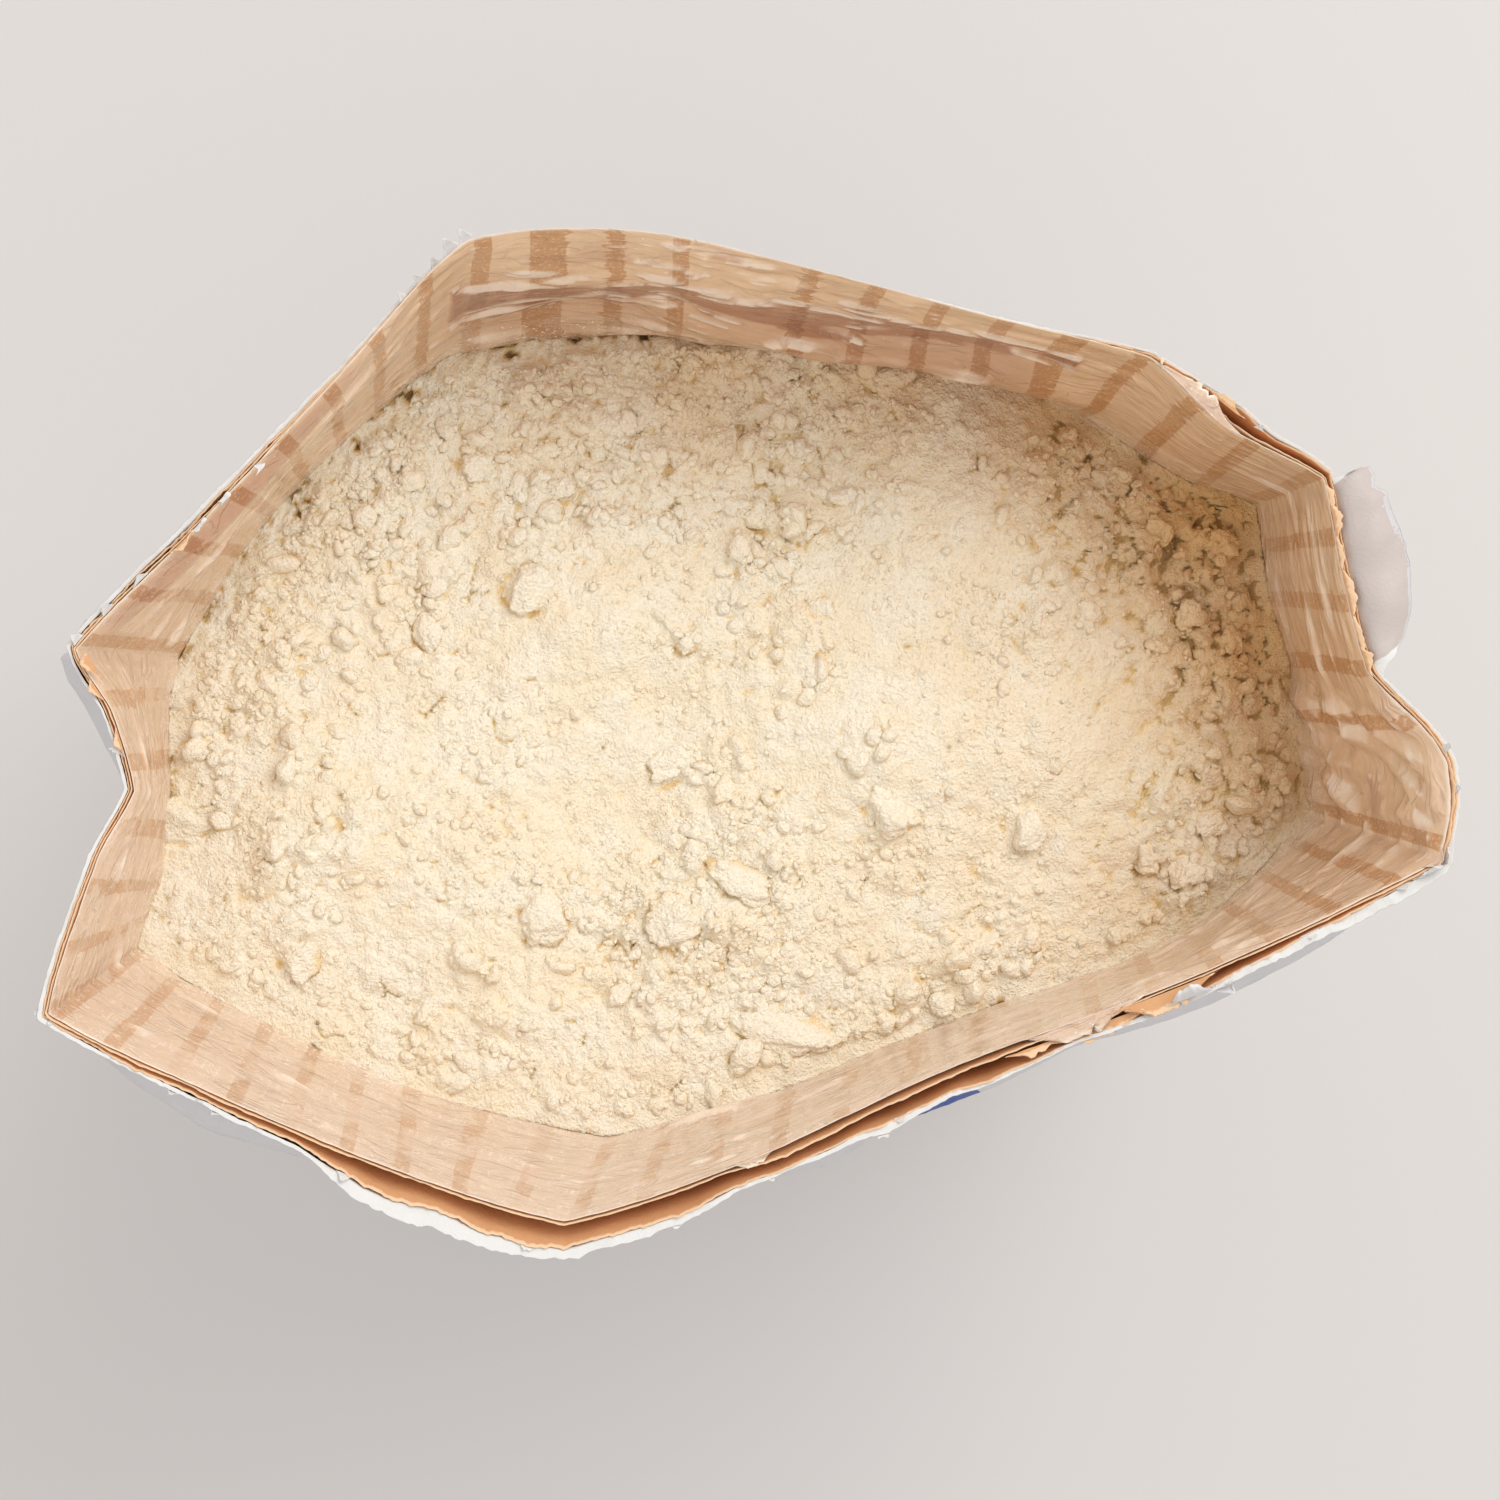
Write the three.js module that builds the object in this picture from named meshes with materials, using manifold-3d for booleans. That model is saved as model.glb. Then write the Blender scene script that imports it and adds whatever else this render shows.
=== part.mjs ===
// A large multiwall paper sack of donut mix, torn open along its top and standing on its flat bottom.
// Four sheets are nested from the inside out: a clear film liner, two brown kraft plies and a white outer ply.
// Each sheet is a tube with a closed floor, and the mix fills the liner up to about 70 mm under the torn rim.
// Millimetres, +Z up. The front panel faces -Y, the gusseted ends face -X and +X.
import * as THREE from "three";
import { mergeVertices } from "three/addons/utils/BufferGeometryUtils.js";
import Module from "manifold-3d";

// Driving dimensions
const FILL_HEIGHT = 488; // where the mix meets the liner, at the middle of the sack
const FILL_TILT = -0.06; // the mix stands higher at the left end: rise in mm for each mm of x
const COLUMN_PITCH = 17.5; // distance between the columns of vertices round the sack
const SHEET = 0.7; // thickness of a sheet, thicker than real paper so that the solid is sound
const SHEET_GAP = 0.55; // free space between two sheets where they lie together
const MIX_GAP = 0.5; // free space between the mix and the liner
const SHEET_STEP = SHEET + SHEET_GAP;
const SHEETS_OUTSIDE_LINER = 3;
const NEST_INSET = 3; // how far inside the mouth's measured line the liner's inner face runs
const LINER_FLOOR = SHEETS_OUTSIDE_LINER * SHEET_STEP; // height of the liner's underside

// The sack's body below the mix line is a superellipse that swells from a flat rectangular foot to a belly.
const FOOT = { a: 171, b: 88, power: 4.6 };
const BELLY = { a: 183, b: 126, power: 2.7 };
const BELLY_AT = 0.25; // share of the fill height where the belly is reached
const NECK_FROM = 0.55; // share of the fill height where the body starts to follow the mix line's outline

// Rows of vertices up the sack: shares of the fill height, then shares of the free collar above the mix.
const BODY_ROWS = [0, 0.05, 0.25, 0.6, 0.86, 1];
const COLLAR_ROWS = [0.3, 0.62, 1];

// Creases and bends round the torn mouth, counterclockwise from above, as the sheets run there.
// rim: where the torn edge is. fill: where the sheets meet the mix. soft: 0 is a sharp crease, 1 a round bend.
// off: how far the middle ply stands off the liner at the rim, how far the white ply stands off the middle ply
// there, and how far the white ply bellies out below the rim.
const MOUTH = [
  { at: "left back corner", rim: [-169.7, 40.3, 566], fill: [-152.8, 38.2], soft: 0.25, off: [1, 0.5, 2] },
  { at: "left end, back half", rim: [-162.8, 22.3, 561], fill: [-157.5, 24.7], soft: 0.8, off: [1.5, 0.5, 5] },
  { at: "left gusset fold", rim: [-160.4, 0.8, 556], fill: [-160.4, 0.8], soft: 0.3, off: [0.5, 0.5, 3] },
  { at: "left end, front half", rim: [-171.5, -15.9, 560], fill: [-165.2, -21.8], soft: 0.8, off: [0.5, 0.5, 2] },
  { at: "left front corner", rim: [-189.5, -56, 564], fill: [-174.9, -43.7], soft: 0.15, off: [0.5, 0.5, 2] },
  { at: "front, left end", rim: [-152.3, -80.8, 560], fill: [-148.3, -65.1], soft: 0.9, off: [2, 1, 8] },
  { at: "front, before the bend", rim: [-103.3, -108.9, 560], fill: [-105.4, -92.6], soft: 0.9, off: [4, 2, 6] },
  { at: "front bend", rim: [-58.4, -128.6, 562], fill: [-48.6, -114.6], soft: 0.35, off: [4, 3, 2] },
  { at: "front, after the bend", rim: [-9.9, -119.4, 560], fill: [-5.7, -109.8], soft: 0.9, off: [6, 2, 3] },
  { at: "front, middle", rim: [49.8, -100.5, 560], fill: [57.7, -93.5], soft: 0.9, off: [7, 2, 3] },
  { at: "front, right end", rim: [119.5, -82.9, 566], fill: [124.1, -78.4], soft: 0.9, off: [3, 2, 7] },
  { at: "right front corner", rim: [185.8, -59.8, 574], fill: [167.2, -47.4], soft: 0.2, off: [0.5, 0.5, 2] },
  { at: "right end, front half", rim: [190.9, -34.2, 572], fill: [169.5, -28.6], soft: 0.8, off: [0, 0, 0] },
  { at: "right gusset fold", rim: [175, -8.1, 560], fill: [166.6, -3], soft: 0.3, off: [0.5, 0.5, 0] },
  { at: "right end, back half", rim: [171.1, 17.6, 562], fill: [162.7, 22.6], soft: 0.8, off: [0.5, 0.5, 0] },
  { at: "right back corner", rim: [168.4, 45.1, 566], fill: [162.4, 44.8], soft: 0.2, off: [1, 0.5, 0] },
  { at: "back, right end", rim: [144.3, 62.2, 566], fill: [140.5, 55.6], soft: 0.8, off: [4, 1, 0] },
  { at: "back right bend", rim: [125.7, 82.6, 570], fill: [113.9, 77], soft: 0.4, off: [0.5, 0.5, 0] },
  { at: "back, before the middle", rim: [87.2, 97.4, 572], fill: [78.4, 99.5], soft: 0.9, off: [0, 0, 0] },
  { at: "back, middle", rim: [43, 114.9, 574], fill: [33.2, 109], soft: 0.9, off: [0, 0, 0] },
  { at: "back, after the middle", rim: [-5.3, 131.9, 576], fill: [-10.3, 115.4], soft: 0.9, off: [0, 0, 0] },
  { at: "back left bend", rim: [-51.2, 135.5, 574], fill: [-63.7, 115.9], soft: 0.5, off: [0.5, 0, 0] },
  { at: "back, left end", rim: [-92.5, 102.3, 570], fill: [-98.6, 94], soft: 0.9, off: [0.5, 0, 0] },
  { at: "left end of the back", rim: [-134, 68.1, 568], fill: [-128.9, 68.5], soft: 0.9, off: [1.5, 0.5, 0] },
];
const GUSSET_FOLDS = ["left gusset fold", "right gusset fold"];
const BODY_CORNERS = ["left back corner", "left front corner", "right front corner", "right back corner"];

// The back panel folds over in the collar: a lobe that bulges over the mix.
const LOBE = { x: 57, halfWidth: 78, height: 0.32, halfHeight: 0.4, reach: 9 };

// A tongue of the white ply hangs out between the right back corner and the right gusset fold.
const TONGUE = { from: "right gusset fold", to: "right back corner", reach: 13, rise: 3, drop: 1 };
const PLAIN_EDGE = 1.2; // how far the torn edge runs past the rim where there is no tongue

// Seeded random draws in 0..1, one for each whole number.
const hash = (n) => {
  const s = Math.sin(n * 127.1 + 311.7) * 43758.5453;
  return s - Math.floor(s);
};
const lerp = (a, b, t) => a + (b - a) * t;
const clamp01 = (t) => Math.min(1, Math.max(0, t));
const smooth = (from, to, x) => {
  const t = clamp01((x - from) / (to - from));
  return t * t * (3 - 2 * t);
};
const fillLevel = (x) => FILL_HEIGHT + FILL_TILT * x;

// The closed curve through one point of each mouth entry, sampled with the same columns on every level.
// A sharp entry takes its tangents from its own chords, a soft one from its neighbours' chord.
const segmentColumns = MOUTH.map((from, i) => {
  const to = MOUTH[(i + 1) % MOUTH.length];
  const length = Math.hypot(to.rim[0] - from.rim[0], to.rim[1] - from.rim[1]);
  return Math.max(2, Math.round(length / COLUMN_PITCH));
});
const COLUMNS = segmentColumns.reduce((sum, n) => sum + n, 0);
const columnOf = (name) => {
  const index = MOUTH.findIndex((entry) => entry.at === name);
  return segmentColumns.slice(0, index).reduce((sum, n) => sum + n, 0);
};

function sampleCurve(points) {
  const count = points.length;
  const chord = points.map((p, i) => points[(i + 1) % count].clone().sub(p));
  const tangent = (i, own) => {
    const around = points[(i + 1) % count].clone().sub(points[(i + count - 1) % count]);
    return own.clone().normalize().lerp(around.normalize(), MOUTH[i].soft).normalize();
  };
  const samples = [];
  points.forEach((p0, i) => {
    const next = (i + 1) % count;
    const length = chord[i].length();
    const t0 = tangent(i, chord[i]).multiplyScalar(length);
    const t1 = tangent(next, chord[i]).multiplyScalar(length);
    for (let k = 0; k < segmentColumns[i]; k++) {
      const t = k / segmentColumns[i];
      const [t2, t3] = [t * t, t * t * t];
      samples.push(
        p0.clone().multiplyScalar(2 * t3 - 3 * t2 + 1)
          .addScaledVector(t0, t3 - 2 * t2 + t)
          .addScaledVector(points[next], 3 * t2 - 2 * t3)
          .addScaledVector(t1, t3 - t2),
      );
    }
  });
  return samples;
}

// One of the three numbers in off, spread straight between the mouth's entries.
function sampleOff(which) {
  const values = [];
  MOUTH.forEach(({ off }, i) => {
    const next = MOUTH[(i + 1) % MOUTH.length].off;
    const count = segmentColumns[i];
    for (let k = 0; k < count; k++) values.push(lerp(off[which], next[which], k / count));
  });
  return values;
}

const rimCurve = sampleCurve(MOUTH.map((entry) => new THREE.Vector3(...entry.rim)));
const fillCurve = sampleCurve(MOUTH.map((entry) => new THREE.Vector3(...entry.fill, fillLevel(entry.fill[0]))));
const standOff = { inner: sampleOff(0), outer: sampleOff(1), bow: sampleOff(2) };

// Distance from the axis to a superellipse, |x/a|^n + |y/b|^n = 1, in the direction of a point.
function bodyPoint(direction, share) {
  const grown = Math.sqrt(clamp01(share / BELLY_AT) * (2 - clamp01(share / BELLY_AT)));
  const a = lerp(FOOT.a, BELLY.a, grown);
  const b = lerp(FOOT.b, BELLY.b, grown);
  const power = lerp(FOOT.power, BELLY.power, grown);
  const angle = Math.atan2(direction.y, direction.x);
  const [u, v] = [Math.abs(Math.cos(angle) / a), Math.abs(Math.sin(angle) / b)];
  const radius = (u ** power + v ** power) ** (-1 / power);
  return new THREE.Vector2(radius * Math.cos(angle), radius * Math.sin(angle));
}

// Folds that run down the body: ridges at the four corners, valleys at the two gusset folds.
const foldDepth = new Array(COLUMNS).fill(0);
BODY_CORNERS.forEach((name) => (foldDepth[columnOf(name)] = 3));
GUSSET_FOLDS.forEach((name) => (foldDepth[columnOf(name)] = -6));

// The liner's inner face: rows of columns, each a point with its share of the body and of the collar.
function linerRows() {
  const body = BODY_ROWS.map((share) =>
    fillCurve.map((edge, j) => {
      const low = bodyPoint(edge, share);
      const fold = foldDepth[j] * smooth(0, 0.3, share) * (1 - smooth(0.8, 1, share));
      low.multiplyScalar(1 + fold / low.length());
      const neck = smooth(NECK_FROM, 1, share);
      const z = lerp(LINER_FLOOR + SHEET, edge.z, share);
      return new THREE.Vector3(lerp(low.x, edge.x, neck), lerp(low.y, edge.y, neck), z);
    }),
  );
  const collar = COLLAR_ROWS.map((share) =>
    fillCurve.map((edge, j) => {
      const p = edge.clone().lerp(rimCurve[j], share);
      const across = clamp01(1 - Math.abs(p.x - LOBE.x) / LOBE.halfWidth);
      const up = clamp01(1 - Math.abs(share - LOBE.height) / LOBE.halfHeight);
      if (p.y > 0) p.y -= LOBE.reach * smooth(0, 0.6, across) * smooth(0, 1, up);
      return p;
    }),
  );
  return [...body, ...collar];
}
const liner = linerRows();
const ROWS = liner.length;
const FILL_ROW = BODY_ROWS.length - 1;
const collarShare = liner.map((_, row) => (row <= FILL_ROW ? 0 : COLLAR_ROWS[row - FILL_ROW - 1]));

// Outward directions in plan: square to the sheet, and evened out over a run of columns.
const outward = liner.map((row) =>
  row.map((_, j) => {
    const step = row[(j + 1) % COLUMNS].clone().sub(row[(j + COLUMNS - 1) % COLUMNS]);
    return new THREE.Vector3(step.y, -step.x, 0).normalize();
  }),
);
const RUN = 4;
const evened = outward.map((row) =>
  row.map((_, j) => {
    const sum = new THREE.Vector3();
    for (let k = -RUN; k <= RUN; k++) sum.add(row[(j + k + COLUMNS) % COLUMNS]);
    return sum.normalize();
  }),
);

// How far a sheet stands off the liner at a row and column, beyond the sheets that lie between them.
const BOW_ROWS = { [FILL_ROW]: 0.25, [FILL_ROW + 1]: 0.8, [FILL_ROW + 2]: 1, [FILL_ROW + 3]: 0.3 };
function extraStandOff(layer, row, j) {
  const opened = collarShare[row];
  const inner = layer >= 2 ? standOff.inner[j] * opened : 0;
  const outer = layer >= 3 ? standOff.outer[j] * opened + standOff.bow[j] * (BOW_ROWS[row] ?? 0) : 0;
  return inner + outer;
}

// A point of a sheet's face. layer counts the sheets from the liner outwards, depth is across the sheet.
function sheetPoint(layer, depth, row, j, lift) {
  const across = layer * SHEET_STEP + depth;
  const p = liner[row][j].clone()
    .addScaledVector(outward[row][j], across - NEST_INSET)
    .addScaledVector(evened[row][j], extraStandOff(layer, row, j));
  if (row === 0) p.z = LINER_FLOOR + SHEET - across;
  if (row === ROWS - 1 && lift) {
    const below = sheetPoint(layer, depth, row - 1, j, 0);
    const up = p.clone().sub(below).normalize();
    p.addScaledVector(up, lift);
  }
  return p;
}

// A closed body from vertex rings: each ring joins the next, and the first and the last close on a middle point.
// From the ring named turn the rings run back down, and their quads split along the same slant as those before.
function closedBody(rings, firstMiddle, lastMiddle, turn = rings.length) {
  const vertices = rings.flat().concat([firstMiddle, lastMiddle]);
  const [first, last] = [vertices.length - 2, vertices.length - 1];
  const index = [];
  const at = (ring, j) => ring * COLUMNS + (j % COLUMNS);
  for (let j = 0; j < COLUMNS; j++) {
    index.push(first, at(0, j + 1), at(0, j));
    for (let ring = 0; ring + 1 < rings.length; ring++) {
      const [a, b, c, d] = [at(ring, j), at(ring, j + 1), at(ring + 1, j), at(ring + 1, j + 1)];
      if (ring < turn) index.push(a, b, c, b, d, c);
      else index.push(a, b, d, a, d, c);
    }
    index.push(last, at(rings.length - 1, j), at(rings.length - 1, j + 1));
  }
  const positions = new Float32Array(vertices.flatMap((v) => v.toArray()));
  return new THREE.BufferGeometry()
    .setAttribute("position", new THREE.BufferAttribute(positions, 3))
    .setIndex(index);
}

// One sheet: up its outer face, over the torn edge, down its inner face. extra adds rings past the rim.
function sheetGeometry(layer, tear, extra = () => []) {
  const outerFace = liner.map((row, r) => row.map((_, j) => sheetPoint(layer, SHEET, r, j, tear(j))));
  const innerFace = liner.map((row, r) => row.map((_, j) => sheetPoint(layer, 0, r, j, tear(j))));
  const [over, back] = [extra(outerFace[ROWS - 1], SHEET), extra(innerFace[ROWS - 1], 0).reverse()];
  const rings = [...outerFace, ...over, ...back, ...innerFace.reverse()];
  const floor = LINER_FLOOR - layer * SHEET_STEP;
  const [under, above] = [new THREE.Vector3(0, 0, floor), new THREE.Vector3(0, 0, floor + SHEET)];
  return closedBody(rings, under, above, rings.length / 2);
}

// The torn edges rise and fall from column to column.
const tornEdge = (seed, middle, swing) => (j) => middle + swing * (2 * hash(seed + j) - 1);

// Rings past the white ply's rim: the tongue bends outwards and then hangs, and elsewhere the edge just ends.
function tongueRings(rim, depth) {
  const [from, to] = [columnOf(TONGUE.from), columnOf(TONGUE.to)];
  const reach = rim.map((_, j) => {
    const along = (j - from) / (to - from);
    const inside = smooth(0, 0.22, along) * (1 - smooth(0.82, 1, along));
    return TONGUE.reach * inside * (0.9 + 0.1 * hash(900 + j));
  });
  const lie = [
    { out: 0.45, up: TONGUE.rise },
    { out: 1, up: -TONGUE.drop },
  ];
  return lie.map(({ out, up }, step) =>
    rim.map((p, j) => {
      const share = reach[j] / TONGUE.reach;
      const plain = (PLAIN_EDGE * (step + 1)) / lie.length;
      return p.clone()
        .addScaledVector(evened[ROWS - 1][j], reach[j] * out)
        .add(new THREE.Vector3(0, 0, up * share + plain * (1 - share) - depth * 0.9 * share));
    }),
  );
}

// The mix's top: a tilted bed with one broad mound, smaller swells and hollows, dying out at the liner.
const MOUND = { x: 82, y: 12, height: 15, spread: 48 };
const SWELLS = [
  { x: -48, y: 38, height: 6, spread: 30 },
  { x: -20, y: -66, height: 4, spread: 26 },
  { x: -120, y: -14, height: 5, spread: 24 },
  { x: 26, y: 67, height: -6, spread: 20 },
  { x: -74, y: 67, height: -5, spread: 22 },
  { x: 130, y: 28, height: -7, spread: 20 },
  { x: -34, y: -16, height: -4, spread: 24 },
];
const DIMPLES = Array.from({ length: 46 }, (_, n) => ({
  x: 340 * (hash(1000 + n) - 0.5),
  y: 210 * (hash(2000 + n) - 0.5),
  height: 5 * (hash(3000 + n) - 0.5),
  spread: 9 + 7 * hash(4000 + n),
}));
const RELIEF = [MOUND, ...SWELLS, ...DIMPLES];
const swell = (s, x, y) => s.height * Math.exp(-((x - s.x) ** 2 + (y - s.y) ** 2) / (2 * s.spread ** 2));
const mixHeight = (x, y) => fillLevel(x) + RELIEF.reduce((sum, s) => sum + swell(s, x, y), 0);

const wasm = await Module();
wasm.setup();

function toSolid(geometry) {
  const bare = geometry.clone();
  bare.deleteAttribute("normal");
  bare.deleteAttribute("uv");
  const merged = mergeVertices(bare, 1e-4);
  return new wasm.Manifold(
    new wasm.Mesh({
      numProp: 3,
      vertProperties: merged.attributes.position.array,
      triVerts: new Uint32Array(merged.index.array),
    }),
  );
}

function toGeometry(solid) {
  const { vertProperties, triVerts } = solid.getMesh();
  return new THREE.BufferGeometry()
    .setAttribute("position", new THREE.BufferAttribute(vertProperties, 3))
    .setIndex(new THREE.BufferAttribute(triVerts, 1));
}

// The mix as one bed: the liner's inner face drawn in, closed by rings that rise over the top.
const TOP_RINGS = 8;
const TOP_MIDDLE = new THREE.Vector2(-8, 2);
function mixBed() {
  const side = liner.slice(0, FILL_ROW + 1).map((row, r) =>
    row.map((p, j) => {
      const q = p.clone().addScaledVector(outward[r][j], -NEST_INSET - MIX_GAP);
      if (r === 0) q.z += MIX_GAP;
      return q;
    }),
  );
  const edge = side[FILL_ROW];
  const top = [];
  for (let ring = 1; ring < TOP_RINGS; ring++) {
    const share = ring / TOP_RINGS;
    top.push(
      edge.map((p) => {
        const [x, y] = [lerp(p.x, TOP_MIDDLE.x, share), lerp(p.y, TOP_MIDDLE.y, share)];
        const rise = smooth(0, 0.16, share);
        return new THREE.Vector3(x, y, lerp(fillLevel(x), mixHeight(x, y), rise));
      }),
    );
  }
  const bottom = new THREE.Vector3(0, 0, LINER_FLOOR + SHEET + MIX_GAP);
  const peak = new THREE.Vector3(TOP_MIDDLE.x, TOP_MIDDLE.y, mixHeight(TOP_MIDDLE.x, TOP_MIDDLE.y));
  return toSolid(closedBody([...side, ...top], bottom, peak));
}

// A clod: a coarse ball with its corners pushed in and out at random, pressed flat and turned.
function clod({ x, y, size, flat }, seed) {
  const ball = new THREE.IcosahedronGeometry(size, size > 7.5 ? 1 : 0);
  ball.deleteAttribute("normal");
  ball.deleteAttribute("uv");
  const rough = mergeVertices(ball, 1e-4);
  const p = rough.attributes.position;
  for (let i = 0; i < p.count; i++) {
    const grow = 0.82 + 0.36 * hash(seed * 97 + i);
    p.setXYZ(i, p.getX(i) * grow, p.getY(i) * grow, p.getZ(i) * grow * flat);
  }
  rough.rotateZ(hash(seed) * Math.PI * 2);
  rough.translate(x, y, mixHeight(x, y) + size * flat * 0.1);
  return toSolid(rough);
}

// The clods that stand out most, where they lie, then smaller ones scattered where the real mix has them.
const LARGE_CLODS = [
  { x: -49, y: 43, size: 8.5, flat: 0.7 },
  { x: -21, y: -10, size: 7, flat: 0.8 },
  { x: 46, y: -33, size: 10, flat: 0.6 },
  { x: 85, y: -41, size: 8, flat: 0.6 },
  { x: -56, y: -50, size: 9, flat: 0.7 },
  { x: -21, y: -56, size: 9, flat: 0.6 },
  { x: 5, y: -49, size: 9, flat: 0.5 },
  { x: 20, y: -87, size: 11, flat: 0.4 },
  { x: -143, y: -11, size: 10, flat: 0.4 },
  { x: -62, y: 80, size: 8, flat: 0.6 },
  { x: 58, y: 77, size: 8, flat: 0.5 },
  { x: -81, y: 30, size: 6.5, flat: 0.6 },
  { x: 145, y: 32, size: 7, flat: 0.7 },
  { x: 143, y: -52, size: 6.5, flat: 0.8 },
];
const SMALL_CLODS = 18;
function scatteredClods() {
  const found = [];
  for (let n = 0; found.length < SMALL_CLODS; n++) {
    const angle = hash(5000 + n) * Math.PI * 2;
    const reach = Math.sqrt(hash(6000 + n)) * 0.86;
    const inRightBand = Math.cos(angle) > 0.55;
    const [x, y] = [158 * reach * Math.cos(angle), 102 * reach * Math.sin(angle)];
    const size = 3.4 + 2 * hash(8000 + n);
    if (inRightBand || hash(7000 + n) < 0.45) found.push({ x, y, size, flat: 0.7 });
  }
  return found.filter(({ x, y }) => Math.abs(y) < 96 - 0.34 * Math.abs(x + 10));
}

function mixGeometry() {
  const clods = [...LARGE_CLODS, ...scatteredClods()].map((c, i) => clod(c, i + 1));
  const heap = clods.reduce((bed, c) => bed.add(c), mixBed());
  // A clod that lies over a hollow can shut in a bubble, so only the heap's outer skin is kept.
  const skins = heap.decompose().sort((p, q) => q.volume() - p.volume());
  return toGeometry(skins[0]);
}

// Finishes
const paper = (color, roughness) => new THREE.MeshStandardMaterial({ color, roughness, metalness: 0 });
const FINISH = {
  film: paper(0xd9b28c, 0.3),
  kraft: paper(0xc08a58, 0.85),
  white: paper(0xeceae6, 0.6),
  mix: paper(0xf0dcb8, 1),
};

function named(name, geometry, material) {
  const mesh = new THREE.Mesh(geometry, material);
  mesh.name = name;
  geometry.computeVertexNormals();
  return mesh;
}

const sack = new THREE.Group();
sack.add(
  named("film_liner", sheetGeometry(0, tornEdge(100, 0, 1.2)), FINISH.film),
  named("kraft_ply_inner", sheetGeometry(1, tornEdge(200, -1, 1.2)), FINISH.kraft),
  named("kraft_ply_middle", sheetGeometry(2, tornEdge(300, 0, 1.5)), FINISH.kraft),
  named("white_ply_outer", sheetGeometry(3, tornEdge(400, 0.5, 1.5), tongueRings), FINISH.white),
  named("donut_mix", mixGeometry(), FINISH.mix),
);

// The origin is the middle of the footprint of the whole sack, on the floor.
const box = new THREE.Box3().setFromObject(sack);
const middle = box.getCenter(new THREE.Vector3());
sack.children.forEach((mesh) => mesh.position.set(-middle.x, -middle.y, -box.min.z));

export default sack;
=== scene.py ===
# %% [markdown]
# # An opened paper sack of donut mix
#
# The real thing is a large multiwall sack: a clear film inside, two plies of brown kraft paper and a white
# ply outside. It has been torn open along its top, it stands on its flat bottom, and a crumbly
# cream-coloured mix fills it to about 70 mm under the torn edge. We look straight down into it.
#
# Every sheet of the sack follows one and the same wall, so this lesson first works out that wall as a
# function of two numbers: how far round the mouth, and how far up. Each sheet is then that wall, moved
# outwards a little, with its own torn edge and wrinkles. The mix is a height over the plan of the sack.

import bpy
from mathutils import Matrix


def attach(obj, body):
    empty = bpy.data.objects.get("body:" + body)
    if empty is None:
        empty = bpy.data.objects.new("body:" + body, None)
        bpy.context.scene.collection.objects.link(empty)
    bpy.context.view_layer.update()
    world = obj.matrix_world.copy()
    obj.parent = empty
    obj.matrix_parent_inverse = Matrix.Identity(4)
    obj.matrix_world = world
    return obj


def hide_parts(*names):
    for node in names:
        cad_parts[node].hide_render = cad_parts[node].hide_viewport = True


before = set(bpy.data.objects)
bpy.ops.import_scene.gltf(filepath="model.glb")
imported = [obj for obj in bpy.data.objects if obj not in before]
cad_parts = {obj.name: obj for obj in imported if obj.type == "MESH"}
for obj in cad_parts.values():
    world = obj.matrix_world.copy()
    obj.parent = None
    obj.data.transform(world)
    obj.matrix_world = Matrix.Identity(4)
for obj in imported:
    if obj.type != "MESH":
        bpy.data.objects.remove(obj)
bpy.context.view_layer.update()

# %% [markdown]
# ## Units, camera and light
#
# The shapes are worked out in millimetres, because the sack was measured so, and are turned into Blender's
# metres when a mesh is made. The photograph looks straight down from a little under a metre above the rim.
# Turned by seven degrees, the sack's wide panels run along X, as they do in the CAD model.

# %% Units and the camera
import math

import bmesh
import bpy
import numpy as np

MM = 0.001
CAMERA_HEIGHT = 1560
CAMERA_SPOT = (6.7, -8.6)
CAMERA_TURN = math.radians(-7)
DISTANCE_TO_FRAME = 3700 / 1500  # the distance to the sack over the width that the frame shows there
SENSOR = 36

lens = bpy.data.cameras.new("camera")
lens.sensor_width = SENSOR
lens.lens = SENSOR * DISTANCE_TO_FRAME
camera = bpy.data.objects.new("camera", lens)
camera.location = (CAMERA_SPOT[0] * MM, CAMERA_SPOT[1] * MM, CAMERA_HEIGHT * MM)
camera.rotation_euler = (0, 0, CAMERA_TURN)
bpy.context.scene.collection.objects.link(camera)
bpy.context.scene.camera = camera
print("camera", round(lens.lens, 1), "mm lens,", CAMERA_HEIGHT, "mm above the floor")

# %% [markdown]
# The light in the photograph is soft and bright, and the floor is a little darker at the lower left. So one
# large lamp stands over the upper right, and a pale surrounding gives more than half of the light.


# %% Light
def lamp(name, place, size, watts, tint):
    """A square soft lamp that stands at place, in mm, and points at the middle of the mouth."""
    light = bpy.data.lights.new(name, "AREA")
    light.size = size * MM
    light.energy = watts
    light.color = tint
    stand = bpy.data.objects.new(name, light)
    stand.location = [value * MM for value in place]
    aim = stand.location.copy()
    aim.z -= MOUTH_HEIGHT * MM
    stand.rotation_euler = aim.to_track_quat("Z", "Y").to_euler()
    bpy.context.scene.collection.objects.link(stand)
    return stand


MOUTH_HEIGHT = 520
lamp("key_light", (1365, 1170, 2575), 1700, 36, (1.0, 0.985, 0.965))

world = bpy.data.worlds.new("studio")
world.use_nodes = True
world.node_tree.nodes["Background"].inputs["Color"].default_value = (1.0, 0.984, 0.966, 1)
world.node_tree.nodes["Background"].inputs["Strength"].default_value = 0.87
bpy.context.scene.world = world
bpy.context.scene.view_settings.view_transform = "Standard"

# %% [markdown]
# ## Small tools for arrays
#
# A wrinkle or a crumb is a bump on a smooth surface, and its height comes from noise. Blender has noise
# textures, but a material can't move the mesh's own points, and the look of torn paper and powder needs
# real relief. So here are three kinds of noise as plain array functions: a draw for each cell, smooth
# ripples, and scattered cells.

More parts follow.
